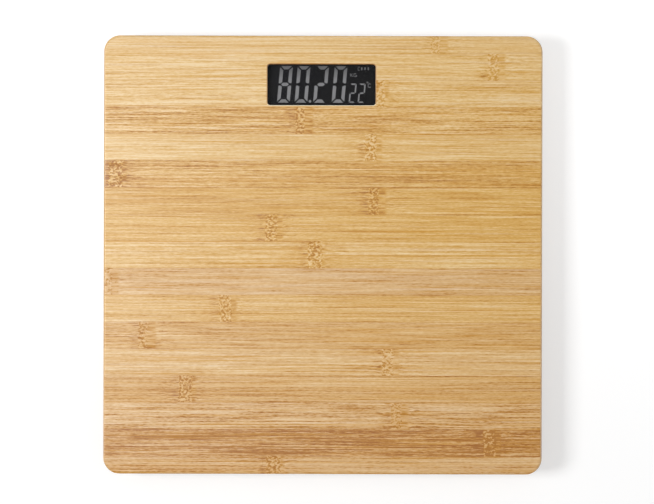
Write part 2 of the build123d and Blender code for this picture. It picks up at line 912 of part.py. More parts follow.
def contact_plate(side, y_low, y_high):
    """A sprung contact's back plate, flat against the rib at one end of the battery bay."""
    block(
        contact_thickness,
        y_high - y_low,
        rib_top_z - contact_bottom_z,
        module_x + side * (rib_face_x - contact_thickness / 2),
        (y_low + y_high) / 2,
        contact_bottom_z,
    )


def contact_bump(side, cell_y):
    """The pressed dome that meets a battery's positive end."""
    with Locations(
        Location((module_x + side * (rib_face_x - contact_thickness), cell_y, cell_centre_z), (0, -side * 90, 0))
    ):
        Cone(
            contact_bump_diameter / 2,
            contact_bump_diameter / 4,
            contact_reach,
            align=(Align.CENTER, Align.CENTER, Align.MIN),
        )


def contact_leaf(side, cell_y):
    """The bent leaf that presses on a battery's negative end."""
    face_x = module_x + side * (rib_face_x - contact_thickness)
    tip = -side * contact_reach
    skin = side * contact_thickness
    half = contact_width / 2
    with BuildSketch(Plane((face_x, cell_y, cell_centre_z), x_dir=(1, 0, 0), z_dir=(0, -1, 0))) as leaf:
        with BuildLine():
            Polyline(
                (0, 0.8 * half),
                (tip, 0.2 * half),
                (tip, -0.2 * half),
                (0.4 * tip, -0.8 * half),
                (0.4 * tip + skin, -0.8 * half),
                (tip + skin, -0.1 * half),
                (tip + skin, 0.1 * half),
                (0, 0.6 * half),
                close=True,
            )
        make_face()
    extrude(leaf.sketch, amount=0.3 * contact_width, both=True)


def lead_tab(side, cell_y):
    """The upstanding tab of a contact that a lead is soldered to."""
    block(
        contact_thickness,
        lead_tab_width,
        lead_tab_height,
        module_x + side * (rib_face_x - contact_thickness / 2),
        cell_y,
        rib_top_z,
    )


with BuildPart() as positive_contact:
    contact_plate(1, front_cell_y - contact_width / 2, front_cell_y + contact_width / 2)
    contact_bump(1, front_cell_y)
    lead_tab(1, front_cell_y)
finish(positive_contact, "battery_positive_contact")

with BuildPart() as negative_contact:
    contact_plate(1, rear_cell_y - contact_width / 2, rear_cell_y + contact_width / 2)
    contact_leaf(1, rear_cell_y)
    lead_tab(1, rear_cell_y)
finish(negative_contact, "battery_negative_contact")

with BuildPart() as link_contact:
    contact_plate(-1, front_cell_y - contact_width / 2, rear_cell_y + contact_width / 2)
    contact_leaf(-1, front_cell_y)
    contact_bump(-1, rear_cell_y)
finish(link_contact, "battery_link_contact")

# Battery leads, from the contacts' tabs to the circuit board
lead_z = rib_top_z + lead_tab_height / 2
lead_pad_z = board_top_z + lead_diameter / 2 + wire_lift
for name, cell_y, lane in (("red", front_cell_y, 1), ("black", rear_cell_y, 0)):
    lane_x = module_x + rib_face_x + lead_run + lane * lead_spacing
    with BuildPart() as lead:
        with BuildLine():
            FilletPolyline(
                (module_x + rib_face_x, cell_y, lead_z),
                (lane_x, cell_y, lead_z),
                (lane_x, board_front_y + pad_reach / 3, lead_pad_z),
                (lane_x, board_front_y + pad_reach, lead_pad_z),
                radius=lead_bend_radius,
            )
        with BuildSketch(Plane((module_x + rib_face_x, cell_y, lead_z), x_dir=(0, 1, 0), z_dir=(1, 0, 0))):
            Circle(lead_diameter / 2)
        sweep()
    finish(lead, f"battery_lead_{name}")

# Bracket that holds a load cell in its pocket, built at the origin with the leads towards +Y
with BuildPart() as bracket:
    with BuildSketch(level(panel_top_z)):
        Circle(bracket_diameter / 2)
    extrude(amount=bracket_height)
    with BuildSketch(level(panel_top_z)):
        Circle(foot_hole_diameter / 2)
    extrude(amount=load_cell_bottom_z - panel_top_z, mode=Mode.SUBTRACT)
    with BuildSketch(level(load_cell_bottom_z)):
        seat_side = load_cell_side + 2 * load_cell_clearance
        RectangleRounded(seat_side, seat_side, load_cell_corner_radius)
    extrude(amount=load_cell_thickness, mode=Mode.SUBTRACT)
    with BuildSketch(level(load_cell_top_z)):
        Circle(relief_radius)
        Rectangle(channel_width, bracket_diameter, align=(Align.CENTER, Align.MIN))
    extrude(amount=bracket_plate, mode=Mode.SUBTRACT)
    clip_inner = load_cell_side / 2 - clip_bite
    clip_outer = (foot_hole_diameter + bracket_diameter) / 4
    for end in (-1, 1):
        block(
            clip_width,
            clip_outer - clip_inner,
            clip_thickness,
            0,
            end * (clip_outer + clip_inner) / 2,
            clip_bottom_z,
        )
    with BuildSketch(level(load_cell_bottom_z)):
        with Locations((-bracket_screw_radius, 0), (bracket_screw_radius, 0)):
            Circle(bracket_screw_shank / 2 + screw_clearance)
    extrude(amount=foot_pocket_ceiling_z - load_cell_bottom_z, mode=Mode.SUBTRACT)
    with BuildSketch(level(clip_bottom_z)):
        with Locations((-bracket_screw_radius, 0), (bracket_screw_radius, 0)):
            Circle(bracket_screw_head / 2 + screw_clearance)
    extrude(amount=load_cell_bottom_z + bracket_screw_recess - clip_bottom_z, mode=Mode.SUBTRACT)
place_at_corners(bracket.part, "cell_bracket")

bracket_screw = screw_shape(
    bracket_screw_head, bracket_screw_head_height, bracket_screw_shank, bracket_screw_grip + bracket_screw_bite
)
with BuildPart() as bracket_screws:
    with Locations(*[place for _, place in foot_places]):
        with Locations(
            (-bracket_screw_radius, 0, load_cell_bottom_z + bracket_screw_recess),
            (bracket_screw_radius, 0, load_cell_bottom_z + bracket_screw_recess),
        ):
            add(bracket_screw)
finish(bracket_screws, "bracket_screws")

# Load cell: a stamped steel frame with a tongue that the foot is riveted to
with BuildPart() as load_cell:
    with BuildSketch(level(load_cell_bottom_z)):
        RectangleRounded(load_cell_side, load_cell_side, load_cell_corner_radius)
        RectangleRounded(load_cell_window, load_cell_window, load_cell_window_radius, mode=Mode.SUBTRACT)
        Rectangle(tongue_width, (load_cell_window + load_cell_side) / 4, align=(Align.CENTER, Align.MIN))
        Rectangle(tongue_pad_width, tongue_pad_length)
        Circle(rivet_diameter / 2 + rivet_clearance, mode=Mode.SUBTRACT)
    extrude(amount=load_cell_thickness)
place_at_corners(load_cell.part, "load_cell")

with BuildPart() as seal:
    block(seal_width, seal_length, seal_height, 0, seal_y, load_cell_top_z)
    fillet(seal.faces().sort_by(Axis.Z)[-1].edges(), seal_round)
place_at_corners(seal.part, "gauge_seal")

# Foot: a cup with a central boss that is riveted through the load cell's tongue
with BuildPart() as foot:
    with BuildSketch(level(pad_proud)):
        Circle(foot_diameter / 2)
    extrude(amount=foot_top_z - pad_proud)
    fillet(foot.edges().sort_by(Axis.Z)[0], foot_edge_round)
    with BuildSketch(level(foot_floor_top_z)):
        Circle(foot_diameter / 2 - foot_wall)
    extrude(amount=foot_top_z - foot_floor_top_z, mode=Mode.SUBTRACT)
    with BuildSketch(level(pad_proud)):
        Circle(pad_diameter / 2 + pad_clearance)
    extrude(amount=pad_recess, mode=Mode.SUBTRACT)
    with BuildSketch(level(foot_floor_top_z)):
        with PolarLocations(0, foot_rib_count):
            Rectangle(foot_diameter / 2 - foot_wall / 2, foot_rib_thickness, align=(Align.MIN, Align.CENTER))
    extrude(amount=foot_rib_height)
    with BuildSketch(level(foot_floor_top_z)):
        Circle(boss_pad_diameter / 2)
    extrude(amount=load_cell_bottom_z - foot_floor_top_z)
    with BuildSketch(level(load_cell_bottom_z)):
        Circle(rivet_diameter / 2)
    extrude(amount=load_cell_thickness)
    with BuildSketch(level(load_cell_top_z)):
        Circle(rivet_head_diameter / 2)
    extrude(amount=rivet_head_height)
    fillet(foot.edges().sort_by(Axis.Z)[-1], rivet_head_height / 2)
place_at_corners(foot.part, "foot")

with BuildPart() as pad:
    with BuildSketch(level(0)):
        Circle(pad_diameter / 2)
    extrude(amount=pad_top_z)
    fillet(pad.edges().sort_by(Axis.Z)[0], pad_edge_round)
    with BuildSketch(level(0)):
        for ring in range(pad_groove_count):
            groove_radius = pad_diameter / 2 - (ring + 1) * pad_groove_pitch
            Circle(groove_radius + pad_groove_width / 2)
            Circle(groove_radius - pad_groove_width / 2, mode=Mode.SUBTRACT)
    extrude(amount=pad_groove_depth, mode=Mode.SUBTRACT)
place_at_corners(pad.part, "foot_pad")

# Load-cell leads, glued along the ceilings of the platform's channels
wire_z = foot_pocket_ceiling_z - wire_diameter / 2 - wire_lift
seal_z = load_cell_top_z + seal_height / 2
solder_z = board_top_z + wire_diameter / 2 + wire_lift


def lead_path(route, wall_distance):
    """Points of the leads' centre line in space, and the bend radius at each inner point."""
    first = Vector(*route[0])
    last = Vector(*route[-1])
    out = (Vector(*route[1]) - first).normalized()
    back = (Vector(*route[-2]) - last).normalized()
    in_pocket = Vector(0, 0, seal_z)
    in_channel = Vector(0, 0, wire_z)
    on_board = Vector(0, 0, solder_z)
    points = [
        first + out * (load_cell_window / 2) + in_pocket,
        first + out * (load_cell_side / 2) + in_pocket,
        first + out * (bracket_diameter / 2 + wire_step) + in_channel,
        *[Vector(*turn) + in_channel for turn in route[1:-1]],
        last + back * (wall_distance + wire_step) + in_channel,
        last + back * wire_step + on_board,
        last + on_board,
    ]
    turns = len(route) - 2
    radii = [wire_bend_radius] * 2 + [channel_bend_radius] * turns + [wire_bend_radius] * 2
    return points, radii, out


front_wall_distance = board_front_y + pad_reach - housing_front_y
side_wall_distance = pad_reach + board_clearance + housing_wall
wire_colours = (
    ("supply_wires_red", -wire_pitch),
    ("signal_wires_white", 0),
    ("ground_wires_black", wire_pitch),
)
for name, offset in wire_colours:
    run_length = 0
    with BuildPart() as wires:
        for route in lead_routes:
            wall_distance = side_wall_distance if len(route) == 2 else front_wall_distance
            points, radii, out = lead_path(route, wall_distance)
            with BuildLine() as run:
                FilletPolyline(*points, radius=radii)
            with BuildSketch(Plane(points[0], x_dir=out.cross(Vector(0, 0, 1)), z_dir=out)):
                with Locations((offset, 0)):
                    Circle(wire_diameter / 2)
            sweep()
            run_length += sum(piece.length for piece in run.edges())
    finish(wires, name)
    swept_share = wires.part.volume / (run_length * pi * wire_diameter**2 / 4)
    print(name, "length", round(run_length, 1), "volume over section times length", round(swept_share, 4))
print("lead bend radii", wire_bend_radius, channel_bend_radius, lead_bend_radius)
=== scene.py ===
"""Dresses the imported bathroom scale: bamboo, display figures, plastics, metals and the studio stage."""
import math
from types import SimpleNamespace

import bpy
import numpy as np
from bpy.props import FloatProperty, FloatVectorProperty, PointerProperty
from bpy.types import Operator, Panel, PropertyGroup
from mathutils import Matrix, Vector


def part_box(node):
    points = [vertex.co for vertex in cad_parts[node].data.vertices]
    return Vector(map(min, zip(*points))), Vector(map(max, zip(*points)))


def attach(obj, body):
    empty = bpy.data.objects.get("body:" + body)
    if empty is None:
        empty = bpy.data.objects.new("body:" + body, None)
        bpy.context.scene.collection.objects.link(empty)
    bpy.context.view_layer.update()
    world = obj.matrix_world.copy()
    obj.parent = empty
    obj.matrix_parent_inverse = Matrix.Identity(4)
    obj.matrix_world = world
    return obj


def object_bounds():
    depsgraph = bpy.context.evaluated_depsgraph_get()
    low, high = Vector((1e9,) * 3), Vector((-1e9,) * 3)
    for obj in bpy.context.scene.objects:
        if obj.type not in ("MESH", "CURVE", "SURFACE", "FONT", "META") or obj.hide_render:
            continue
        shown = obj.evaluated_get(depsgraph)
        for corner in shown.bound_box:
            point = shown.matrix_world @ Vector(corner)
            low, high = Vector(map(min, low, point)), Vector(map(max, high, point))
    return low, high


bl_info = {
    "name": "Bamboo bathroom scale",
    "version": (1, 0, 0),
    "blender": (4, 5, 0),
    "location": "View3D > Sidebar > Scale",
    "description": "Dresses a digital bathroom scale and sets up its studio view",
    "category": "Object",
}

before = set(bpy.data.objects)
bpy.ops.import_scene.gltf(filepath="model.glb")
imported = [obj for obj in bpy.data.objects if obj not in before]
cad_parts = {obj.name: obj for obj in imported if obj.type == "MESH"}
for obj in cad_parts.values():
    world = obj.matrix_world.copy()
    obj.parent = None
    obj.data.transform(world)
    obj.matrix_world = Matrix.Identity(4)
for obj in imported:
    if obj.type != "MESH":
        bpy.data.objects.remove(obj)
cad_low, cad_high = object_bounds()
MM = 0.001
BASE = "scale"
CORNERS = ("front_left", "front_right", "rear_left", "rear_right")
WHITE = (1.0, 1.0, 1.0)
BLACK = (0.0, 0.0, 0.0)

# Bamboo strips from the rear edge to the front: tone from dark 0 to pale 1, the knuckle's X in
# millimetres, how dark the wood is around that knuckle, hue from golden 0 to ashen 1, and how strongly
# its fibres show
STRIPS = (
    (1.00, 79.0, 0.15, 0.3, 0.85),
    (0.97, 118.0, 0.2, 0.18, 0.95),
    (0.96, 38.5, 0.35, 0.18, 1.12),
    (0.66, -13.5, 0.42, 0.2, 1.42),
    (0.92, 34.0, 0.45, 0.18, 0.87),
    (0.55, -141.0, 0.75, 0.1, 1.2),
    (0.64, 36.5, 0.32, 0.0, 0.83),
    (0.71, -34.0, 0.35, 0.0, 0.85),
    (0.87, -5.0, 0.45, 0.12, 1.0),
    (0.64, -146.0, 0.0, 0.9, 1.0),
    (0.74, -65.5, 0.3, 0.25, 0.95),
    (0.58, -120.5, 0.15, 0.6, 0.93),
    (0.80, 46.0, 0.4, 0.7, 1.12),
    (0.56, -93.0, 0.36, 0.65, 1.0),
    (0.58, 52.5, 0.0, 1.0, 1.5),
    (0.24, 115.5, 0.45, 1.0, 1.25),
    (0.56, -33.0, 0.25, 1.0, 1.2),
)

# A ramp holds values from 0 to 1, so it keeps a knuckle's X as a share of the first of these, and a
# strip's fibre strength as a share of the second
KNUCKLE_RANGE = 300.0
BOLD_RANGE = 2.0

# Layers of the fibres' noise: waves per millimetre along the grain, across it and into the board, a
# shift of the seed, the noise's detail and its roughness. In the first three, the waves along the grain
# are a share of the strip's own rate
LAYERS = {
    "middle": (0.7, 0.62, 0.8, 0.0, 2.0, 0.6),
    "thread": (0.8, 0.92, 1.0, 2.0, 1.0, 0.5),
    "fine": (1.0, 1.25, 1.3, 0.0, 2.0, 0.6),
    "broad": (0.007, 0.26, 0.3, 0.0, 2.0, 0.5),
    "hair": (0.05, 2.3, 2.0, 0.0, 2.0, 0.6),
    "grain": (0.30, 1.7, 2.0, 0.0, 2.0, 0.6),
    "veins": (0.015, 0.72, 0.6, 9.0, 2.0, 0.55),
    "lines": (0.007, 1.45, 1.0, 13.0, 1.0, 0.5),
    "hues": (0.011, 0.72, 1.0, 31.0, 2.0, 0.6),
}

# Colours that the bamboo's tones are tinted with
ASH = (0.66, 0.46, 0.36)
ORANGE = (0.67, 0.338, 0.05)
# Painted highlight on the window's front rim
RIM_HIGHLIGHT = (0.95, 0.82, 0.58)
# Painted light on the rounded rims of the right edge, and painted shade on those of the left edge
PAINTED_RIGHT_RIM_LIGHT = (0.80, 0.63, 0.45)
PAINTED_LEFT_RIM_SHADE = (0.62, 0.43, 0.25)
END_GRAIN = (0.66, 0.47, 0.27)

# Radius of the milled window's corners, in millimetres
WINDOW_CORNER = 2.0

# Lit bars of the figures that the display shows
SEGMENTS = {"0": "abcdef", "2": "abged", "8": "abcdefg"}

# The display, in millimetres from its centre: the figures' left feet and the line that they stand on,
# the point, the small figures' sizes, the signs' lower left corners, their strokes' widths, the bars of
# charge from their sign's corner, and how far all of it stands up
WEIGHT_FEET = (-30.55, -18.5, -5.8, 6.85)
WARMTH_FEET = (18.55, 24.75)
FOOT_LINE = -12.05
POINT_PLACE = (-8.0, -11.1)
POINT_RADIUS = 0.95
WARMTH_WIDTH = 4.4
WARMTH_HEIGHT = 13.2
WARMTH_BAR = 0.95
WARMTH_GAP = 0.3
UNIT_PLACE = (19.75, 5.75)
UNIT_SCALE = 0.88
DEGREE_PLACE = (30.9, -1.5)
POWER_PLACE = (24.8, 10.2)
UNIT_PEN = 0.3224
DEGREE_PEN = 0.31
SIGN_PEN = 0.341
CHARGE_PEN = 0.95
CHARGE_BARS = (2.7, 4.95, 7.2)
PLATE_LIFT = 0.06

# The stage, in metres: half the floor's side, its cells along a side, and each lamp's place, its size,
# the setting that holds its power, and whether it lights matt surfaces or is only mirrored
FLOOR_REACH = 4.0
FLOOR_CELLS = 8
LAMPS = {
    "softbox": ((-1.9, -0.1, 2.0), (0.9, 0.9), "key_power", True),
    "fill": ((1.9, 0.0, 0.5), (0.7, 0.7), "fill_power", True),
    "sheen_strip": ((-0.75, 0.1, 1.6), (0.4, 1.2), "sheen_power", False),
    "rear_strip": ((0.0, 1.6, 0.75), (1.2, 0.3), "rear_power", False),
}

# Width of the camera's sensor, in millimetres
SENSOR_WIDTH = 36.0


class BambooSettings(PropertyGroup):
    """Sizes and colours of the laminated bamboo."""

    strip_width: FloatProperty(
        name="Strip width", description="Width of one bamboo strip",
        default=0.01838, subtype="DISTANCE", unit="LENGTH",
    )
    rear_seam: FloatProperty(
        name="Rear seam", description="Y of the rearmost glue line",
        default=0.1379, subtype="DISTANCE", unit="LENGTH",
    )
    knuckle_width: FloatProperty(
        name="Knuckle width", description="Length of a knuckle along the grain",
        default=0.0125, subtype="DISTANCE", unit="LENGTH",
    )
    window_width: FloatProperty(
        name="Window width", description="Width of the milled window",
        default=0.074, subtype="DISTANCE", unit="LENGTH",
    )
    window_depth: FloatProperty(
        name="Window depth", description="Window, front to rear",
        default=0.028, subtype="DISTANCE", unit="LENGTH",
    )
    umber: FloatVectorProperty(
        name="Umber", description="Darkest fibres", default=(0.365, 0.136, 0.026), size=3, subtype="COLOR"
    )
    amber: FloatVectorProperty(
        name="Amber", description="Dark strips", default=(0.532, 0.243, 0.036), size=3, subtype="COLOR"
    )
    honey: FloatVectorProperty(
        name="Honey", description="Middle tone", default=(0.640, 0.346, 0.068), size=3, subtype="COLOR"
    )
    straw: FloatVectorProperty(
        name="Straw", description="Pale strips", default=(0.722, 0.434, 0.118), size=3, subtype="COLOR"
    )
    cream: FloatVectorProperty(
        name="Cream", description="Palest strips", default=(0.805, 0.540, 0.212), size=3, subtype="COLOR"
    )
    ivory: FloatVectorProperty(
        name="Ivory", description="Palest fibres", default=(0.860, 0.635, 0.320), size=3, subtype="COLOR"
    )
    lacquer: FloatProperty(
        name="Lacquer roughness", description="Roughness of the satin lacquer",
        default=0.38, min=0.0, max=1.0, subtype="FACTOR",
    )


class DisplaySettings(PropertyGroup):
    """Sizes and colours of the display and its figures."""

    figure_height: FloatProperty(
        name="Figure height", description="Height of the weight's figures",
        default=0.02505, subtype="DISTANCE", unit="LENGTH",
    )
    figure_width: FloatProperty(
        name="Figure width", description="Width of one figure before it slants",
        default=0.0087, subtype="DISTANCE", unit="LENGTH",
    )
    bar_width: FloatProperty(
        name="Bar width", description="Width of a figure's bars",
        default=0.0023, subtype="DISTANCE", unit="LENGTH",
    )
    bar_gap: FloatProperty(
        name="Bar gap", description="Gap between a figure's bars",
        default=0.0007, subtype="DISTANCE", unit="LENGTH",
    )
    slant: FloatProperty(
        name="Slant", description="Lean of the figures",
        default=math.radians(5.0), subtype="ANGLE", unit="ROTATION",
    )
    figure_colour: FloatVectorProperty(
        name="Figure colour", description="Colour of the lit bars",
        default=(0.68, 0.68, 0.70), size=3, subtype="COLOR",
    )
    panel_colour: FloatVectorProperty(
        name="Panel colour", description="Colour of the dark display",
        default=(0.0045, 0.0045, 0.0052), size=3, subtype="COLOR",
    )
    smoke: FloatProperty(
        name="Smoke", description="How much the lens hides", default=0.3, min=0.0, max=1.0, subtype="FACTOR"
    )


class UndersideSettings(PropertyGroup):
    """Colours of the plastics, rubber and metals under the platform."""

    panel_colour: FloatVectorProperty(
        name="Panel", description="Base panel plastic", default=(0.022, 0.022, 0.024), size=3, subtype="COLOR"
    )
    housing_colour: FloatVectorProperty(
        name="Housing", description="Housing and door plastic",
        default=(0.018, 0.018, 0.019), size=3, subtype="COLOR",
    )
    foot_colour: FloatVectorProperty(
        name="Foot", description="Foot plastic", default=(0.030, 0.030, 0.032), size=3, subtype="COLOR"
    )
    pad_colour: FloatVectorProperty(
        name="Pad", description="Foot pad rubber", default=(0.045, 0.045, 0.046), size=3, subtype="COLOR"
    )
    button_colour: FloatVectorProperty(
        name="Button", description="Unit button plastic", default=(0.16, 0.16, 0.17), size=3, subtype="COLOR"
    )
    steel_colour: FloatVectorProperty(
        name="Steel", description="Plated steel", default=(0.60, 0.60, 0.61), size=3, subtype="COLOR"
    )


class StageSettings(PropertyGroup):
    """The studio: floor, lights and camera."""

    floor_colour: FloatVectorProperty(
        name="Floor", description="Pale floor", default=(0.92, 0.92, 0.92), size=3, subtype="COLOR"
    )
    floor_seen: FloatVectorProperty(
        name="Floor seen", description="Floor colour to the camera",
        default=(0.56, 0.56, 0.56), size=3, subtype="COLOR",
    )
    floor_glow: FloatProperty(
        name="Floor glow", description="How much the camera sees the floor lit from within",
        default=0.575, min=0.0, max=1.0,
    )
    # Painted shade on the floor: how the glow changes from front to rear
    painted_shade_drop: FloatProperty(
        name="Floor drop", description="How much dimmer that glow is at the front, and brighter at the rear",
        default=0.06, min=0.0, max=0.2,
    )
    camera_height: FloatProperty(
        name="Camera height", description="Camera above the platform's top",
        default=2.0, subtype="DISTANCE", unit="LENGTH",
    )
    view_width: FloatProperty(
        name="View width", description="Width that the picture takes in",
        default=0.4473, subtype="DISTANCE", unit="LENGTH",
    )
    aim_x: FloatProperty(
        name="Aim X", description="Middle of the picture", default=0.0028, subtype="DISTANCE", unit="LENGTH"
    )
    aim_y: FloatProperty(
        name="Aim Y", description="Middle of the picture", default=0.0020, subtype="DISTANCE", unit="LENGTH"
    )
    roll: FloatProperty(
        name="Roll", description="Camera's roll", default=math.radians(0.14), subtype="ANGLE", unit="ROTATION"
    )
    key_power: FloatProperty(
        name="Key power", description="Softbox at the left", default=52.0, min=0.0, unit="POWER"
    )
    fill_power: FloatProperty(
        name="Fill power", description="Low softbox at the right that lifts the shaded edges",
        default=7.0, min=0.0, unit="POWER",
    )
    rear_power: FloatProperty(
        name="Rear power", description="Low strip behind the display edge that only rims mirror",
        default=24.0, min=0.0, unit="POWER",
    )
    sheen_power: FloatProperty(
        name="Sheen power", description="Strip light that only the lacquer mirrors",
        default=75.0, min=0.0, unit="POWER",
    )
    sky: FloatProperty(name="Sky", description="Strength of the even studio light", default=0.355, min=0.0)


class Wire:
    """A shader socket. Python's arithmetic on it adds Math nodes."""

    def __init__(self, art, socket):
        self.art = art
        self.socket = socket

    def other(self, name):
        """Another output of the same node."""
        return Wire(self.art, self.socket.node.outputs[name])

    def math(self, operation, first, second):
        """One Math node on two values."""
        return self.art.node("ShaderNodeMath", {"operation": operation}, {0: first, 1: second})

    def __add__(self, value):
        return self.math("ADD", self, value)

    def __radd__(self, value):
        return self.math("ADD", value, self)

    def __sub__(self, value):
        return self.math("SUBTRACT", self, value)

    def __rsub__(self, value):
        return self.math("SUBTRACT", value, self)

    def __mul__(self, value):
        return self.math("MULTIPLY", self, value)

    def __rmul__(self, value):
        return self.math("MULTIPLY", value, self)

    def __truediv__(self, value):
        return self.math("DIVIDE", self, value)

    def __rtruediv__(self, value):
        return self.math("DIVIDE", value, self)

    def __pow__(self, value):
        return self.math("POWER", self, value)

    def __rpow__(self, value):
        return self.math("POWER", value, self)

    def __abs__(self):
        return self.math("ABSOLUTE", self, 0.0)

    def __neg__(self):
        return self.math("MULTIPLY", self, -1.0)


class Finish:
    """One procedural material, or the world, built node by node."""

    def __init__(self, name, world=False):
        self.block = (bpy.data.worlds if world else bpy.data.materials).new(name)
        self.block.use_nodes = True
        self.tree = self.block.node_tree
        self.tree.nodes.clear()

    def node(self, kind, settings=None, inputs=None, output=0):
        """Adds a node: its settings first, then its sockets' values or links. Gives one output."""
        made = self.tree.nodes.new(kind)
        for key, value in (settings or {}).items():
            if key == "stops":
                ramp = made.color_ramp
                while len(ramp.elements) < len(value):
                    ramp.elements.new(1.0)
                for element, (position, colour) in zip(ramp.elements, value):
                    element.position = position
                    element.color = (*colour, 1.0)[:4]
            elif key == "ramp_interpolation":
                made.color_ramp.interpolation = value
            else:
                setattr(made, key, value)
        for key, value in (inputs or {}).items():
            socket = made.inputs[key]
            if isinstance(value, Wire):
                self.tree.links.new(value.socket, socket)
            elif socket.type == "RGBA" and len(value) == 3:
                socket.default_value = (*value, 1.0)
            else:
                socket.default_value = value
        return Wire(self, made.outputs[output]) if made.outputs else None

    def place(self):
        """The surface's X, Y and Z in the object's own frame, in millimetres."""
        point = self.node("ShaderNodeTexCoord", output="Object")
        x = self.node("ShaderNodeSeparateXYZ", inputs={0: point})
        scale = 1.0 / MM
        return x * scale, x.other("Y") * scale, x.other("Z") * scale

    def vector(self, x, y, z):
        """Three values as one vector."""
        return self.node("ShaderNodeCombineXYZ", inputs={0: x, 1: y, 2: z})

    def noise(self, vector, scale=1.0, detail=2.0, rough=0.5, distortion=0.0):
        """Smooth noise from 0 to 1 around one half."""
        inputs = {"Vector": vector, "Scale": scale, "Detail": detail}
        inputs.update({"Roughness": rough, "Distortion": distortion})
        return self.node("ShaderNodeTexNoise", {"noise_dimensions": "3D"}, inputs)

    def smooth(self, value, low, high):
        """A smooth step from 0 at low to 1 at high."""
        inputs = {"Value": value, "From Min": low, "From Max": high, "To Min": 0.0, "To Max": 1.0}
        return self.node("ShaderNodeMapRange", {"interpolation_type": "SMOOTHSTEP"}, inputs)

    def function(self, operation, value):
        """A Math node of one value, such as FLOOR or EXPONENT."""
        return self.node("ShaderNodeMath", {"operation": operation}, {0: value})

    def bell(self, value, width):
        """A bell curve: 1 where the value is 0, and falling away on both sides over the width."""
        return self.function("EXPONENT", -((value / width) ** 2.0))

    def ramp(self, value, stops, interpolation="LINEAR"):
        """A colour ramp."""
        settings = {"ramp_interpolation": interpolation, "stops": stops}
        return self.node("ShaderNodeValToRGB", settings, {0: value})

    def blend(self, factor, first, second):
        """A mix of two colours."""
        return self.node("ShaderNodeMix", {"data_type": "RGBA"}, {0: factor, 6: first, 7: second}, 2)

    def bump(self, height, strength, distance):
        """A normal from a height."""
        inputs = {"Height": height, "Strength": strength, "Distance": distance}
        return self.node("ShaderNodeBump", inputs=inputs)

    def surface(self, colour, roughness, others):
        """Closes the material with one Principled shader."""
        inputs = {"Base Color": colour, "Roughness": roughness, **others}
        shader = self.node("ShaderNodeBsdfPrincipled", inputs=inputs)
        self.node("ShaderNodeOutputMaterial", inputs={"Surface": shader})
        return self.block

    def seen(self):
        """One where the camera, a reflection or a view through glass sees the surface, else zero."""
        path = self.node("ShaderNodeLightPath", output="Is Camera Ray")
        mirrored = path.math("MAXIMUM", path.other("Is Glossy Ray"), path.other("Is Transmission Ray"))
        return path.math("MAXIMUM", path, mirrored)


def dress(material, *names):
    """Gives CAD nodes a finish."""
    for name in names:
        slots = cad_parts[name].data.materials
        slots.clear()
        slots.append(material)


def at_corners(name):
    """The names of one piece at the four corners."""
    return [f"{name}_{corner}" for corner in CORNERS]


def strip_values(art, look):
    """The strip that a point lies in, and that strip's values. Its number is the whole part of the distance
    from the first strip's rear side over a strip's width. The fraction is the place across the strip."""
    x, y, z = art.place()
    pitch = look.strip_width / MM
    across = (look.rear_seam / MM + pitch - y) / pitch
    number = art.function("FLOOR", across)
    count = len(STRIPS)
    starts = [i / count for i in range(count)]
    tones, knuckles, darks, ashes, bolds = zip(*STRIPS)
    shares = [knuckle / KNUCKLE_RANGE + 0.5 for knuckle in knuckles]
    strengths = [(bold / BOLD_RANGE,) * 3 for bold in bolds]
    middle = (number + 0.5) / count
    sheet = art.ramp(middle, list(zip(starts, zip(tones, shares, darks, ashes))), "CONSTANT")
    strength = art.ramp(middle, list(zip(starts, strengths)), "CONSTANT")
    tone = art.node("ShaderNodeSeparateColor", inputs={0: sheet})
    return SimpleNamespace(
        x=x,
        y=y,
        z=z,
        number=number,
        inside=art.function("FRACT", across),
        seed=number * 17.3,
        tone=tone,
        away=x - (tone.other("Green") - 0.5) * KNUCKLE_RANGE,
        dark=tone.other("Blue"),
        ash=sheet.other("Alpha"),
        bold=strength * BOLD_RANGE,
    )


def fibre_layers(art, strip):
    """The fibres: layers of noise drawn out along X. They follow a Y that swings a little along the strip and
    more beside its knuckle. Their sum, around the strip's tone, is the shade."""
    x, y, z = strip.x, strip.y, strip.z
    near = art.bell(strip.away, 17.0)
    sway = art.noise(art.vector(x * 0.006, y * 0.03, strip.seed), detail=1.0) - 0.5
    ripple = art.noise(art.vector(x * 0.11, y * 0.30, strip.seed), detail=1.0) - 0.5
    fibre_y = y + sway * 2.2 + ripple * near * 3.0 + ripple * 0.12
    rate = art.function("FRACT", strip.number * 0.618 + 0.13) * 0.018 + 0.006

    def layer(name, along=1.0):
        """One layer of the table, from 0 to 1."""
        share, across, depth, shift, detail, rough = LAYERS[name]
        point = art.vector(x * along * share, fibre_y * across, z * depth + strip.seed + shift)
        return art.noise(point, detail=detail, rough=rough)

    middle = layer("middle", rate) - 0.5
    thread = layer("thread", rate) - 0.5
    fine = layer("fine", rate) - 0.5
    broad = layer("broad") - 0.5
    hair = layer("hair") - 0.5
    grain = layer("grain") - 0.5
    veins = art.smooth(layer("veins"), 0.57, 0.72)
    lines = art.smooth(layer("lines"), 0.60, 0.70)
    drift = art.noise(art.vector(x * 0.006, strip.number * 3.7, 4.0), detail=1.0) - 0.5
    threads = thread * 0.85 + fine * 1.75 + hair * 1.3 + grain * 1.35
    fibre = (threads - lines * (0.42 - strip.tone * 0.22)) * strip.bold
    bundles = (broad * 0.30 + middle * 0.42 - veins * 0.20) * strip.bold
    return SimpleNamespace(
        y=fibre_y,
        middle=middle,
        fine=fine,
        veins=veins,
        lines=lines,
        hue=layer("hues"),
        fibre=fibre,
        shade=strip.tone + drift * 0.16 + bundles + fibre * 0.78 + 0.02,
    )


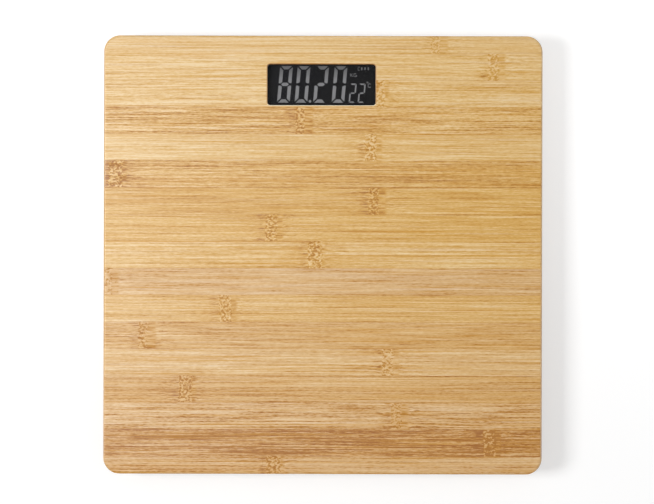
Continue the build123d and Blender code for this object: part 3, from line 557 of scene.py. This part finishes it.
def knuckle_marks(art, look, strip, wood):
    """The knuckle: a ragged column of pale and dark specks, then a band of short dashes cut off on both
    sides, with dark pointed fibres to the left of it, and pores and darker wood around it. Gives the shade
    with these marks, where the knuckle is, and how far its specks stand out."""
    x, y = strip.x, strip.y
    deep = strip.seed + (strip.z - cad_high.z / MM) * 0.5

    def marks(along, across, shift, detail=1.0, rough=0.5, distortion=0.0):
        """Noise of one kind of mark. It also changes with the depth below the top."""
        point = art.vector(along, across, deep + shift)
        return art.noise(point, detail=detail, rough=rough, distortion=distortion)

    half = look.knuckle_width / MM / 2
    jag = marks(1.7, y * 0.55, 3.0, 2.0, 0.6) - 0.5
    edge = strip.away + jag * 3.4 + half - 0.8
    after = edge - art.function("FRACT", strip.number * 0.37) * 4.0 - 6.0
    specks = art.smooth(edge, -0.3, 0.4) * (1.0 - art.smooth(after, -0.7, 0.7))
    band = art.smooth(after, -0.7, 0.7) * (1.0 - art.smooth(edge - jag * 5.0, half * 1.7, half * 2.1))
    core = specks + band
    swirl = art.smooth(marks(edge * 0.60, y * 0.72, 11.0, distortion=0.4), 0.36, 0.66)
    cut = art.smooth(marks(x * 0.06, y * 0.85, 7.0), 0.36, 0.66)
    tooth = (swirl - 0.5) * specks * 1.7 + (cut - 0.5) * band * 1.1

    zone = art.bell(strip.away, half * 2.8)
    halo = art.bell(strip.away + 5.0, 15.0)
    lip = art.bell(edge + 2.5, 3.0)
    streak = art.smooth(marks(x * 0.04, y * 0.75, 17.0), 0.48, 0.62)
    dash = marks(x * 0.19, wood.y * 0.95, 5.0, 2.0, 0.6) - 0.5
    pores = art.smooth(marks(x * 0.55, y * 0.7, 21.0), 0.64, 0.74)
    force = strip.dark * 0.45 + 0.32
    knot = strip.tone - strip.dark * 0.20 - 0.08 + (wood.shade - strip.tone) * 0.35
    knot = knot + dash * 0.8 + tooth * force * 1.15 - pores * 0.26
    shade = wood.shade - strip.dark * halo * 0.36 + dash * zone * 1.35
    shade = shade - lip * streak * force * 0.7 - pores * zone * 0.26
    return shade + (knot - shade) * core, core, tooth


def bamboo_colour(art, strip, wood, shade, core, tones):
    """The shade's colour on the ramp of tones. Ashen strips and blushing patches fade towards a greyish
    pink, and golden patches, veins, fine lines and the knuckle turn towards orange."""
    blush = art.smooth(wood.hue, 0.50, 0.74)
    gold = 1.0 - art.smooth(wood.hue, 0.30, 0.52)
    faded = strip.ash * art.smooth(shade, 0.10, 0.46) * 0.30
    faded = faded + blush * art.smooth(shade, 0.20, 0.60) * 0.18
    warm = (gold * 0.28 + wood.veins * 0.20 + wood.lines * 0.45) * (1.0 - core) + core * 0.24
    return art.blend(warm, art.blend(faded, art.ramp(shade, tones), ASH), ORANGE)


def window_rim(art, look, strip, colour):
    """The milled window: a painted highlight along its front rim and painted shade on its other walls. The
    distance outside the window is that of a rectangle with rounded corners."""
    low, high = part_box("display_lens")
    middle_x = (low.x + high.x) / 2 / MM
    middle_y = (low.y + high.y) / 2 / MM
    half_x = look.window_width / MM / 2
    half_y = look.window_depth / MM / 2
    reach_x = strip.x.math("MAXIMUM", abs(strip.x - middle_x) - (half_x - WINDOW_CORNER), 0.0)
    reach_y = strip.y.math("MAXIMUM", abs(strip.y - middle_y) - (half_y - WINDOW_CORNER), 0.0)
    outside = (reach_x * reach_x + reach_y * reach_y) ** 0.5 - WINDOW_CORNER
    mouth = 1.0 - art.smooth(outside, 0.40, 0.75)
    front = art.smooth(middle_y - strip.y, half_y - 1.5, half_y - 0.5)
    # Painted highlight: the window's front rim turns pale
    colour = art.blend(mouth * front, colour, RIM_HIGHLIGHT)
    # Painted shade: the window's other walls darken towards umber
    return art.blend(mouth * (1.0 - front) * 0.8, colour, tuple(look.umber))


def cut_ends(art, strip, colour, tones):
    """The strips' ends on the left and right edges: dots of cut vessels, darker to one side of each strip,
    over cloudy pith. Their rounded rims get painted light on the right, which faces away from the key
    softbox, and painted shade on the left, which faces it. Gives the colour and where the ends are."""
    normal = art.node("ShaderNodeTexCoord", output="Normal")
    side = art.node("ShaderNodeSeparateXYZ", inputs={0: normal})
    # Painted light on the right rims and painted shade on the left rims, chosen by the way the surface faces
    colour = art.blend(art.smooth(side, 0.10, 0.60) * 0.5, colour, PAINTED_RIGHT_RIM_LIGHT)
    colour = art.blend(art.smooth(-side, 0.10, 0.60) * 0.5, colour, PAINTED_LEFT_RIM_SHADE)
    ends = art.smooth(abs(side), 0.50, 0.90)
    point = art.vector(strip.number * 9.0, strip.y * 0.95, strip.z * 0.95)
    vessels = art.node("ShaderNodeTexVoronoi", {"feature": "F1"}, {"Vector": point, "Scale": 1.0})
    dots = 1.0 - art.smooth(vessels, 0.18, 0.38)
    point = art.vector(strip.number * 5.0, strip.y * 0.35, strip.z * 0.35)
    pith = art.noise(point, detail=3.0, rough=0.65) - 0.5
    shade = strip.tone * 0.45 + pith * 0.7 + (0.5 - strip.inside) * 0.16
    shade = shade - dots * (0.16 + strip.inside * 0.22)
    end_colour = art.blend(0.4, art.ramp(shade, tones), END_GRAIN)
    return art.blend(ends, colour, end_colour), ends


def bamboo_finish(look):
    """Laminated bamboo under a satin lacquer: strips with fibres, knuckles and glue lines. The lacquer is a
    coat that lies thicker on pale fibres than on dark ones."""
    art = Finish("laminated_bamboo")
    strip = strip_values(art, look)
    wood = fibre_layers(art, strip)
    shade, core, tooth = knuckle_marks(art, look, strip, wood)

    # Glue lines, darker in patches
    seam = 1.0 - art.smooth(0.5 - abs(strip.inside - 0.5), 0.004, 0.04)
    patchy = art.noise(art.vector(strip.x * 0.02, strip.number * 5.0, 8.0), detail=2.0)
    patchy = art.smooth(patchy, 0.42, 0.62)
    shade = (shade - seam * (patchy * 0.26 + 0.08)) * 0.8

    shades = (look.umber, look.amber, look.honey, look.straw, look.cream, look.ivory)
    tones = [(i / (len(shades) - 1), colour) for i, colour in enumerate(shades)]
    colour = bamboo_colour(art, strip, wood, shade, core, tones)
    colour = window_rim(art, look, strip, colour)
    colour, ends = cut_ends(art, strip, colour, tones)
    relief = wood.middle * 0.5 + wood.fine * 0.6 + tooth * 0.8 - seam * patchy * 0.8
    others = {
        "Normal": art.bump(relief, 0.16, 0.0004),
        "Specular IOR Level": 0.04,
        "Coat Weight": 0.26 + wood.fibre * 0.28 + tooth * 0.12 - core * 0.04,
        "Coat Roughness": look.lacquer,
    }
    return art.surface(colour, look.lacquer + wood.fine * 0.22 + ends * 0.12 + core * 0.04, others)


def moulded_plastic(name, colour, roughness=0.55, grain=1.1, relief=0.25):
    """Injection-moulded plastic: fine spark-eroded grain, slow tone changes and faint rub marks."""
    art = Finish(name)
    x, y, z = art.place()
    point = art.vector(x, y, z)
    grit = art.noise(point, grain, 4.0, 0.65) - 0.5
    cloud = art.noise(point, 0.018, 3.0, 0.5) - 0.5
    rub = art.smooth(art.noise(art.vector(x * 0.25, y * 0.02, z * 0.1), 1.0, 3.0, 0.6), 0.60, 0.75)
    light = [min(1.0, channel * 1.5 + 0.004) for channel in colour]
    tint = art.blend(0.42 + cloud * 0.7 + grit * 0.25 + rub * 0.18, tuple(colour), tuple(light))
    normal = art.bump(grit, relief, 0.00015)
    return art.surface(tint, roughness + grit * 0.18 - rub * 0.08, {"Normal": normal})


def soft_rubber(name, colour):
    """Matte rubber: pale bloom in patches and a fine speckle."""
    art = Finish(name)
    point = art.vector(*art.place())
    speckle = art.noise(point, 1.9, 3.0, 0.7) - 0.5
    bloom = art.smooth(art.noise(point, 0.09, 4.0, 0.6), 0.45, 0.75)
    pale = [channel * 2.0 + 0.012 for channel in colour]
    tint = art.blend(bloom * 0.45 + speckle * 0.3 + 0.1, tuple(colour), tuple(pale))
    normal = art.bump(speckle, 0.3, 0.0002)
    return art.surface(tint, 0.82 + speckle * 0.15, {"Normal": normal})


def plated_steel(name, colour, roughness=0.3, along="x"):
    """Plated steel: fine drawn lines along one axis, with slow cloudy changes of polish."""
    art = Finish(name)
    x, y, z = art.place()
    rates = (0.12, 3.2) if along == "x" else (3.2, 0.12)
    lines = art.vector(x * rates[0], y * rates[1], z * 3.2)
    drawn = art.noise(lines, 1.0, 3.0, 0.6) - 0.5
    cloud = art.noise(art.vector(x, y, z), 0.08, 3.0, 0.6) - 0.5
    dark = [channel * 0.72 for channel in colour]
    tint = art.blend(0.5 + drawn * 0.6 + cloud * 0.5, tuple(dark), tuple(colour))
    others = {"Metallic": 1.0, "Normal": art.bump(drawn, 0.08, 0.0001)}
    return art.surface(tint, roughness + drawn * 0.14 + cloud * 0.12, others)


def dry_cell(name, side):
    """A dry cell that lies along X with its positive end on the given side: bare metal ends, a copper band
    beside the positive end, a pale ring and a dark sleeve with scuffs."""
    art = Finish(f"{name}_sleeve")
    low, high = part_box(name)
    x, y, z = art.place()
    along = (x - (low.x + high.x) / 2 / MM) * side
    half = (high.x - low.x) / 2 / MM
    metal = art.smooth(abs(along + 0.6), half - 1.2, half - 1.0)
    band = art.smooth(along, 7.9, 8.1)
    ring = band - art.smooth(along, 8.6, 8.8)
    scuff = art.noise(art.vector(x * 0.3, y * 0.9, z * 0.9), 1.0, 3.0, 0.6) - 0.5
    sleeve = art.blend(band, (0.016, 0.016, 0.018), (0.36, 0.14, 0.05))
    sleeve = art.blend(ring, sleeve, (0.60, 0.60, 0.58))
    sleeve = art.blend(art.smooth(scuff, 0.05, 0.30) * 0.25, sleeve, (0.22, 0.22, 0.22))
    colour = art.blend(metal, sleeve, (0.62, 0.61, 0.58))
    others = {"Metallic": metal, "Normal": art.bump(scuff, 0.05, 0.0001)}
    return art.surface(colour, 0.34 + scuff * 0.25 - metal * 0.06, others)


def board_laminate():
    """A green circuit board: patches of parallel copper runs along X or Y under the solder mask."""
    art = Finish("board_laminate")
    x, y, z = art.place()
    point = art.vector(x * 0.10, y * 0.10, 0.5)
    kind = {"feature": "F1", "distance": "CHEBYCHEV"}
    patch = art.node("ShaderNodeTexVoronoi", kind, {"Vector": point, "Scale": 1.0}, "Color")
    turned = art.smooth(art.node("ShaderNodeSeparateColor", inputs={0: patch}), 0.49, 0.51)
    level = abs(art.function("FRACT", y * 0.5) - 0.5)
    upright = abs(art.function("FRACT", x * 0.5) - 0.5)
    run = 1.0 - art.smooth(level + (upright - level) * turned, 0.14, 0.19)
    weave = art.noise(art.vector(x, y, z), 1.6, 3.0, 0.6) - 0.5
    mask = art.blend(weave * 0.8 + 0.4, (0.008, 0.070, 0.024), (0.014, 0.105, 0.040))
    colour = art.blend(run * 0.8, mask, (0.035, 0.190, 0.070))
    normal = art.bump(run + weave * 0.2, 0.15, 0.0001)
    return art.surface(colour, 0.36 + weave * 0.15, {"Normal": normal})


def smoked_acrylic(look):
    """The display's lens: polished smoked acrylic with the faintest wipe marks."""
    art = Finish("smoked_acrylic")
    x, y, z = art.place()
    wipe = art.noise(art.vector(x * 0.12, y * 0.03, z), 1.0, 3.0, 0.6) - 0.5
    tint = art.blend(0.5 + wipe, (0.004, 0.004, 0.005), (0.008, 0.008, 0.010))
    return art.surface(tint, 0.12 + wipe * 0.05, {"Alpha": look.smoke, "Specular IOR Level": 0.085})


def dark_film(look):
    """The dark face of the display, with a painted bluish reflection towards its left."""
    art = Finish("dark_display_film")
    x, y, z = art.place()
    cloud = art.noise(art.vector(x * 0.03, y * 0.06, z), 1.0, 2.0, 0.5)
    # Painted reflection: the film turns bluish towards the left
    blue = [channel * scale for channel, scale in zip(look.panel_colour, (1.0, 1.15, 1.7))]
    tint = art.blend(art.smooth(cloud - x * 0.006, 0.35, 0.8), tuple(look.panel_colour), tuple(blue))
    return art.surface(tint, 0.6 + cloud * 0.1, {"Specular IOR Level": 0.15})


def figure_finish(look, middle_y):
    """Lit bars of the display: a soft grey with painted shade towards the rear, where the window's rear rim
    shades them, and uneven as a cheap backlight is.
    """
    art = Finish("display_figures")
    x, y, z = art.place()
    uneven = art.noise(art.vector(x * 0.10, y * 0.22, z), 1.0, 2.0, 0.5)
    rise = y - middle_y / MM
    # Painted shade: the bars dim towards the rear, where the window's rear rim shades them, and a little
    # towards the front
    level = 1.0 - art.smooth(rise, 1.0, 13.0) * 0.75
    level = level - art.smooth(-rise, 6.0, 14.0) * 0.2 - (uneven - 0.5) * 0.5
    dim = [channel * 0.4 for channel in look.figure_colour]
    tint = art.blend(level, tuple(dim), tuple(look.figure_colour))
    others = {"Emission Color": tint, "Emission Strength": 0.2, "Specular IOR Level": 0.2}
    return art.surface(tint, 0.5 + uneven * 0.1, others)


def pale_floor(look):
    """The floor: a matt pale grey. What the camera or a mirror sees of it also glows, and far from the scale
    it is white. The glow is a little dimmer at the front and brighter at the rear: painted shade that makes
    the scale's shadow darker towards the front."""
    art = Finish("pale_floor")
    x, y, z = art.place()
    cloud = art.noise(art.vector(x, y, z), 0.004, 2.0, 0.5) - 0.5
    far = art.smooth((x * x + y * y) ** 0.5, 350.0, 1100.0)
    # Painted shade: a dimmer glow at the front darkens the shadow there, and a brighter one at the rear
    # lightens it
    dim = (look.floor_glow - look.painted_shade_drop,) * 3
    bright = (look.floor_glow + look.painted_shade_drop,) * 3
    glow = art.blend(far, art.blend(art.smooth(y, -170.0, 170.0), dim, bright), WHITE)
    seen = art.seen()
    colour = art.blend(seen, tuple(look.floor_colour), tuple(look.floor_seen))
    glow = art.blend(seen, BLACK, glow)
    others = {"Specular IOR Level": 0.0, "Emission Color": glow, "Emission Strength": 1.0}
    return art.surface(colour, 0.85 + cloud * 0.1, others)


def studio_sky(look):
    """The world: even light on the object, and white to the camera and in mirrors."""
    art = Finish("studio_sky", world=True)
    even = art.node("ShaderNodeBackground", inputs={"Color": WHITE, "Strength": look.sky})
    white = art.node("ShaderNodeBackground", inputs={"Color": WHITE, "Strength": 1.0})
    mixed = art.node("ShaderNodeMixShader", inputs={0: art.seen(), 1: even, 2: white})
    art.node("ShaderNodeOutputWorld", inputs={"Surface": mixed})
    return art.block


def figure_bars(width, height, bar, gap):
    """Outlines of a figure's seven bars, as arrays of corner points: mitred trapezoids round the outside
    and a pointed bar across the middle. The figure stands on the origin's right."""
    half = height / 2
    inner = bar + gap
    far = width - inner
    nose = bar * 0.42
    top = np.array([(gap, height), (width - gap, height), (far, height - bar), (inner, height - bar)])
    left_top = [(0.0, height - gap), (bar, height - inner), (bar, half + bar / 2 + gap / 2)]
    left_top = np.array(left_top + [(nose, half + gap * 1.1), (0.0, half + gap * 1.3)])
    over = half + bar / 2
    under = half - bar / 2
    middle = [(nose + gap, half), (inner, over), (far, over)]
    middle = np.array(middle + [(width - nose - gap, half), (far, under), (inner, under)])
    flip_x = np.array([-1.0, 1.0])
    flip_y = np.array([1.0, -1.0])
    right = np.array([width, 0.0])
    up = np.array([0.0, height])
    return {
        "a": top,
        "b": (left_top * flip_x + right)[::-1],
        "c": left_top * flip_x * flip_y + right + up,
        "d": (top * flip_y + up)[::-1],
        "e": (left_top * flip_y + up)[::-1],
        "f": left_top,
        "g": middle,
    }


def slanted(outline, origin, slant):
    """An outline leaned to the right by the slant angle and moved to its origin."""
    lean = outline[:, 1] * math.tan(slant)
    return np.column_stack([outline[:, 0] + lean, outline[:, 1]]) + np.asarray(origin)


def figure_outlines(text, feet, centre, bars, slant):
    """Outlines of the lit bars of a row of figures, each with its left foot at one of the given X."""
    outlines = []
    for digit, left in zip(text, feet):
        origin = centre + np.array([left, FOOT_LINE]) * MM
        outlines += [slanted(bars[letter], origin, slant) for letter in SEGMENTS[digit]]
    return outlines


def arc(centre, radius_x, radius_y, start, end, steps=14):
    """Points on part of an ellipse, from a start angle to an end angle in degrees."""
    angle = np.radians(np.linspace(start, end, steps))
    return np.column_stack([centre[0] + radius_x * np.cos(angle), centre[1] + radius_y * np.sin(angle)])


def stroke(path, width, closed=False):
    """A pen stroke: the path's points shifted half a width to either side along its normals, which are
    the averaged normals of the runs that meet at each point. Gives one quad outline for each run."""
    points = np.asarray(path, dtype=float)
    following = np.roll(points, -1, axis=0)
    runs = following - points if closed else np.diff(points, axis=0)
    normals = np.column_stack([-runs[:, 1], runs[:, 0]]) / np.linalg.norm(runs, axis=1)[:, None]
    if closed:
        corner = normals + np.roll(normals, 1, axis=0)
    else:
        corner = np.vstack([normals[:1], normals[1:] + normals[:-1], normals[-1:]])
    corner = corner / np.linalg.norm(corner, axis=1)[:, None]
    left = points + corner * width / 2
    right = points - corner * width / 2
    if closed:
        left = np.vstack([left, left[:1]])
        right = np.vstack([right, right[:1]])
    return list(np.stack([left[:-1], right[:-1], right[1:], left[1:]], axis=1))


def sign_strokes(paths, place, centre, pen, scale=1.0, closed=False):
    """The strokes of a sign: its paths, in millimetres, scaled and moved to the sign's place."""
    corner = centre + np.array(place) * MM
    quads = []
    for path in paths:
        quads += stroke(corner + np.asarray(path) * scale * MM, pen * MM, closed)
    return quads


def unit_strokes(centre):
    """The unit: a K of three strokes, and a G of an open ring with a short upright and a short bar."""
    paths = [
        [(0.0, 0.0), (0.0, 2.6)],
        [(1.7, 2.6), (0.1, 1.25)],
        [(0.45, 1.55), (1.9, 0.0)],
        arc((3.75, 1.3), 1.15, 1.3, 50.0, 330.0),
        [(4.85, 0.3), (4.85, 1.2)],
        [(3.85, 1.2), (4.9, 1.2)],
    ]
    return sign_strokes(paths, UNIT_PLACE, centre, UNIT_PEN, UNIT_SCALE)


def degree_strokes(centre):
    """The temperature's sign: a small closed ring and an open one."""
    ring = arc((0.55, 3.5), 0.42, 0.42, 0.0, 330.0, 12)
    bow = arc((2.05, 1.25), 1.1, 1.35, 42.0, 318.0)
    degree = sign_strokes([ring], DEGREE_PLACE, centre, DEGREE_PEN, closed=True)
    return degree + sign_strokes([bow], DEGREE_PLACE, centre, SIGN_PEN)


def battery_strokes(centre):
    """The battery's sign: a shell with a stepped left end, open to the right, and three bars of charge."""
    shell = [(1.5, 0.0), (0.35, 0.0), (0.35, 0.65), (0.0, 0.65)]
    shell += [(0.0, 1.6), (0.35, 1.6), (0.35, 2.25), (1.5, 2.25)]
    bars = [[(left, 0.2), (left, 2.05)] for left in CHARGE_BARS]
    charge = sign_strokes(bars, POWER_PLACE, centre, CHARGE_PEN)
    return sign_strokes([shell], POWER_PLACE, centre, SIGN_PEN) + charge


def ring_area(ring):
    """Signed area of a ring of points: half the sum of the cross products of neighbours."""
    following = np.roll(ring, -1, axis=0)
    return 0.5 * np.sum(ring[:, 0] * following[:, 1] - following[:, 0] * ring[:, 1])


def raised_plates(name, outlines, low, high):
    """Thin upright prisms: each outline is a ring of points at height low and again at height high, with
    walls between the rings and a flat cap on both."""
    rings = [ring if ring_area(ring) > 0 else ring[::-1] for ring in outlines]
    points = []
    faces = []
    start = 0
    for ring in rings:
        size = len(ring)
        points.append(np.column_stack([ring, np.full(size, low)]))
        points.append(np.column_stack([ring, np.full(size, high)]))
        index = start + np.arange(size)
        after = start + (np.arange(size) + 1) % size
        faces.append((index[::-1]).tolist())
        faces.append((index + size).tolist())
        faces.extend(np.column_stack([index, after, after + size, index + size]).tolist())
        start += 2 * size
    return add_mesh(name, np.vstack(points), faces)


def floor_sheet(name):
    """A level square of equal cells around the origin: every pair of X and Y from one row of steps."""
    count = FLOOR_CELLS + 1
    span = np.linspace(-FLOOR_REACH, FLOOR_REACH, count)
    grid_x, grid_y = np.meshgrid(span, span, indexing="ij")
    points = np.column_stack([grid_x.ravel(), grid_y.ravel(), np.zeros(grid_x.size)])
    cells = np.arange(FLOOR_CELLS)
    corner = (cells[:, None] * count + cells[None, :]).ravel()
    faces = np.column_stack([corner, corner + count, corner + count + 1, corner + 1])
    return add_mesh(name, points, faces.tolist())


def add_mesh(name, points, faces):
    """A new object in the scene from an array of points and lists of faces."""
    mesh = bpy.data.meshes.new(name)
    mesh.from_pydata(points.tolist(), [], faces)
    mesh.validate()
    piece = bpy.data.objects.new(name, mesh)
    bpy.context.scene.collection.objects.link(piece)
    return piece


def add_softbox(name, place, size, power, matt):
    """A rectangular area lamp that is turned towards the origin."""
    lamp = bpy.data.lights.new(name, "AREA")
    lamp.shape = "RECTANGLE"
    lamp.size, lamp.size_y = size
    lamp.energy = power
    box = bpy.data.objects.new(name, lamp)
    box.location = place
    tilt = math.atan2(math.hypot(place[0], place[1]), place[2])
    turn = math.atan2(-place[1], -place[0]) - math.pi / 2
    box.rotation_euler = (tilt, 0.0, turn)
    box.visible_diffuse = matt
    bpy.context.scene.collection.objects.link(box)


class SCALE_OT_dress_platform(Operator):
    """Gives the platform its laminated bamboo"""

    bl_idname = "bathroom_scale.dress_platform"
    bl_label = "Dress platform"

    def execute(self, context):
        dress(bamboo_finish(context.scene.scale_bamboo), "bamboo_platform")
        return {"FINISHED"}


class SCALE_OT_dress_display(Operator):
    """Gives the lens, the film, the glass and the light guide their finishes"""

    bl_idname = "bathroom_scale.dress_display"
    bl_label = "Dress display"

    def execute(self, context):
        look = context.scene.scale_display
        dress(smoked_acrylic(look), "display_lens")
        dress(dark_film(look), "lcd_polarizer")
        glass = moulded_plastic("dark_cell_glass", (0.010, 0.010, 0.011), 0.2, grain=0.4, relief=0.05)
        dress(glass, "lcd_front_glass", "lcd_rear_glass")
        guide = moulded_plastic("milky_guide", (0.62, 0.64, 0.65), 0.35, grain=0.5, relief=0.05)
        dress(guide, "backlight_guide")
        dress(moulded_plastic("led_package", (0.75, 0.70, 0.42), 0.4), "backlight_leds")
        dress(moulded_plastic("white_frame", (0.62, 0.62, 0.60), 0.5), "lcd_frame")
        dress(soft_rubber("foam_gasket", (0.016, 0.016, 0.016)), "lens_gasket")
        dress(soft_rubber("zebra_rubber", (0.09, 0.09, 0.10)), "zebra_strips")
        return {"FINISHED"}


class SCALE_OT_draw_figures(Operator):
    """Draws the figures and signs that the display shows"""

    bl_idname = "bathroom_scale.draw_figures"
    bl_label = "Draw figures"

    def execute(self, context):
        look = context.scene.scale_display
        low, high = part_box("lcd_polarizer")
        middle = (low + high) / 2
        centre = np.array([middle.x, middle.y])
        large = figure_bars(look.figure_width, look.figure_height, look.bar_width, look.bar_gap)
        small = figure_bars(WARMTH_WIDTH * MM, WARMTH_HEIGHT * MM, WARMTH_BAR * MM, WARMTH_GAP * MM)
        weight = figure_outlines("8020", WEIGHT_FEET, centre, large, look.slant)
        warmth = figure_outlines("22", WARMTH_FEET, centre, small, look.slant)
        radius = POINT_RADIUS * MM
        point = arc(centre + np.array(POINT_PLACE) * MM, radius, radius, 0.0, 337.5, 16)
        made = {
            "weight_figures": weight + [point],
            "temperature_figures": warmth + degree_strokes(centre),
            "unit_sign": unit_strokes(centre),
            "battery_sign": battery_strokes(centre),
        }
        paint = figure_finish(look, middle.y)
        for name, outlines in made.items():
            piece = raised_plates(name, outlines, high.z, high.z + PLATE_LIFT * MM)
            piece.data.materials.append(paint)
            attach(piece, BASE)
        return {"FINISHED"}


class SCALE_OT_dress_underside(Operator):
    """Gives the panel, the housing, the door, the button and the screws their finishes"""

    bl_idname = "bathroom_scale.dress_underside"
    bl_label = "Dress underside"

    def execute(self, context):
        look = context.scene.scale_underside
        dress(moulded_plastic("panel_plastic", look.panel_colour, 0.6, grain=1.3, relief=0.35), "base_panel")
        dress(moulded_plastic("housing_plastic", look.housing_colour, 0.5), "module_housing", "battery_door")
        dress(moulded_plastic("button_plastic", look.button_colour, 0.42), "unit_button")
        steel = plated_steel("screw_steel", look.steel_colour, 0.32)
        dress(steel, "base_panel_screws", "module_screws", "bracket_screws", "circuit_board_screws")
        return {"FINISHED"}


class SCALE_OT_dress_feet(Operator):
    """Gives the feet, their pads, the brackets and the load cells their finishes"""

    bl_idname = "bathroom_scale.dress_feet"
    bl_label = "Dress feet"

    def execute(self, context):
        look = context.scene.scale_underside
        dress(moulded_plastic("foot_plastic", look.foot_colour, 0.5), *at_corners("foot"))
        dress(soft_rubber("pad_rubber", look.pad_colour), *at_corners("foot_pad"))
        dress(moulded_plastic("bracket_plastic", (0.04, 0.04, 0.042), 0.55), *at_corners("cell_bracket"))
        dress(plated_steel("load_cell_steel", look.steel_colour, 0.36), *at_corners("load_cell"))
        dress(soft_rubber("gauge_silicone", (0.62, 0.62, 0.60)), *at_corners("gauge_seal"))
        return {"FINISHED"}


class SCALE_OT_dress_electronics(Operator):
    """Gives the circuit board, its parts, the batteries and the wiring their finishes"""

    bl_idname = "bathroom_scale.dress_electronics"
    bl_label = "Dress electronics"

    def execute(self, context):
        look = context.scene.scale_underside
        dress(board_laminate(), "circuit_board")
        chips = ("processor_blob", "converter_chip", "chip_resistors", "thermistor")
        switch = ("unit_switch", "switch_plunger")
        dress(moulded_plastic("black_epoxy", (0.008, 0.008, 0.008), 0.35), *chips, *switch)
        dress(moulded_plastic("capacitor_body", (0.30, 0.19, 0.09), 0.5), "chip_capacitors")
        dress(plated_steel("crystal_can", look.steel_colour, 0.25), "clock_crystal")
        dress(dry_cell("battery_cell_front", 1.0), "battery_cell_front")
        dress(dry_cell("battery_cell_rear", -1.0), "battery_cell_rear")
        contacts = ("battery_link_contact", "battery_positive_contact", "battery_negative_contact")
        dress(plated_steel("spring_contact", (0.68, 0.66, 0.62), 0.25, "y"), *contacts)
        red = moulded_plastic("wire_red", (0.42, 0.012, 0.010), 0.45)
        dress(red, "supply_wires_red", "battery_lead_red")
        dress(moulded_plastic("wire_white", (0.72, 0.72, 0.70), 0.45), "signal_wires_white")
        black = moulded_plastic("wire_black", (0.012, 0.012, 0.012), 0.45)
        dress(black, "ground_wires_black", "battery_lead_black")
        return {"FINISHED"}


class SCALE_OT_lay_stage(Operator):
    """Lays the pale floor and sets the studio lights and the overhead camera"""

    bl_idname = "bathroom_scale.lay_stage"
    bl_label = "Lay stage"

    def execute(self, context):
        scene = context.scene
        look = scene.scale_stage
        scene.view_settings.view_transform = "Standard"
        floor = floor_sheet("studio_floor")
        floor.data.materials.append(pale_floor(look))
        scene.world = studio_sky(look)
        for name, (place, size, power, matt) in LAMPS.items():
            add_softbox(name, place, size, getattr(look, power), matt)

        camera_data = bpy.data.cameras.new("camera")
        camera_data.sensor_width = SENSOR_WIDTH
        camera_data.lens = SENSOR_WIDTH * look.camera_height / look.view_width
        camera_data.dof.use_dof = False
        camera = bpy.data.objects.new("camera", camera_data)
        camera.location = (look.aim_x, look.aim_y, cad_high.z + look.camera_height)
        camera.rotation_euler = (0.0, 0.0, look.roll)
        scene.collection.objects.link(camera)
        scene.camera = camera
        return {"FINISHED"}


class SCALE_PT_panel(Panel):
    """Lists the steps and their settings"""

    bl_idname = "SCALE_PT_panel"
    bl_label = "Bathroom scale"
    bl_space_type = "VIEW_3D"
    bl_region_type = "UI"
    bl_category = "Scale"

    def draw(self, context):
        for step in STEPS:
            self.layout.operator(step.bl_idname)
        for holder in HOLDERS:
            box = self.layout.box()
            settings = getattr(context.scene, holder)
            for name in settings.__annotations__:
                box.prop(settings, name)


STEPS = (
    SCALE_OT_dress_platform,
    SCALE_OT_dress_display,
    SCALE_OT_draw_figures,
    SCALE_OT_dress_underside,
    SCALE_OT_dress_feet,
    SCALE_OT_dress_electronics,
    SCALE_OT_lay_stage,
)
HOLDERS = {
    "scale_bamboo": BambooSettings,
    "scale_display": DisplaySettings,
    "scale_underside": UndersideSettings,
    "scale_stage": StageSettings,
}


def register():
    """Registers the settings, the steps and the panel."""
    for name, group in HOLDERS.items():
        bpy.utils.register_class(group)
        setattr(bpy.types.Scene, name, PointerProperty(type=group))
    for step in STEPS:
        bpy.utils.register_class(step)
    bpy.utils.register_class(SCALE_PT_panel)


def unregister():
    """Removes what register added."""
    bpy.utils.unregister_class(SCALE_PT_panel)
    for step in reversed(STEPS):
        bpy.utils.unregister_class(step)
    for name, group in HOLDERS.items():
        delattr(bpy.types.Scene, name)
        bpy.utils.unregister_class(group)


def main():
    """Runs the steps in order."""
    register()
    steps = bpy.ops.bathroom_scale
    steps.dress_platform()
    steps.dress_display()
    steps.draw_figures()
    steps.dress_underside()
    steps.dress_feet()
    steps.dress_electronics()
    steps.lay_stage()


if __name__ == "__main__":
    main()
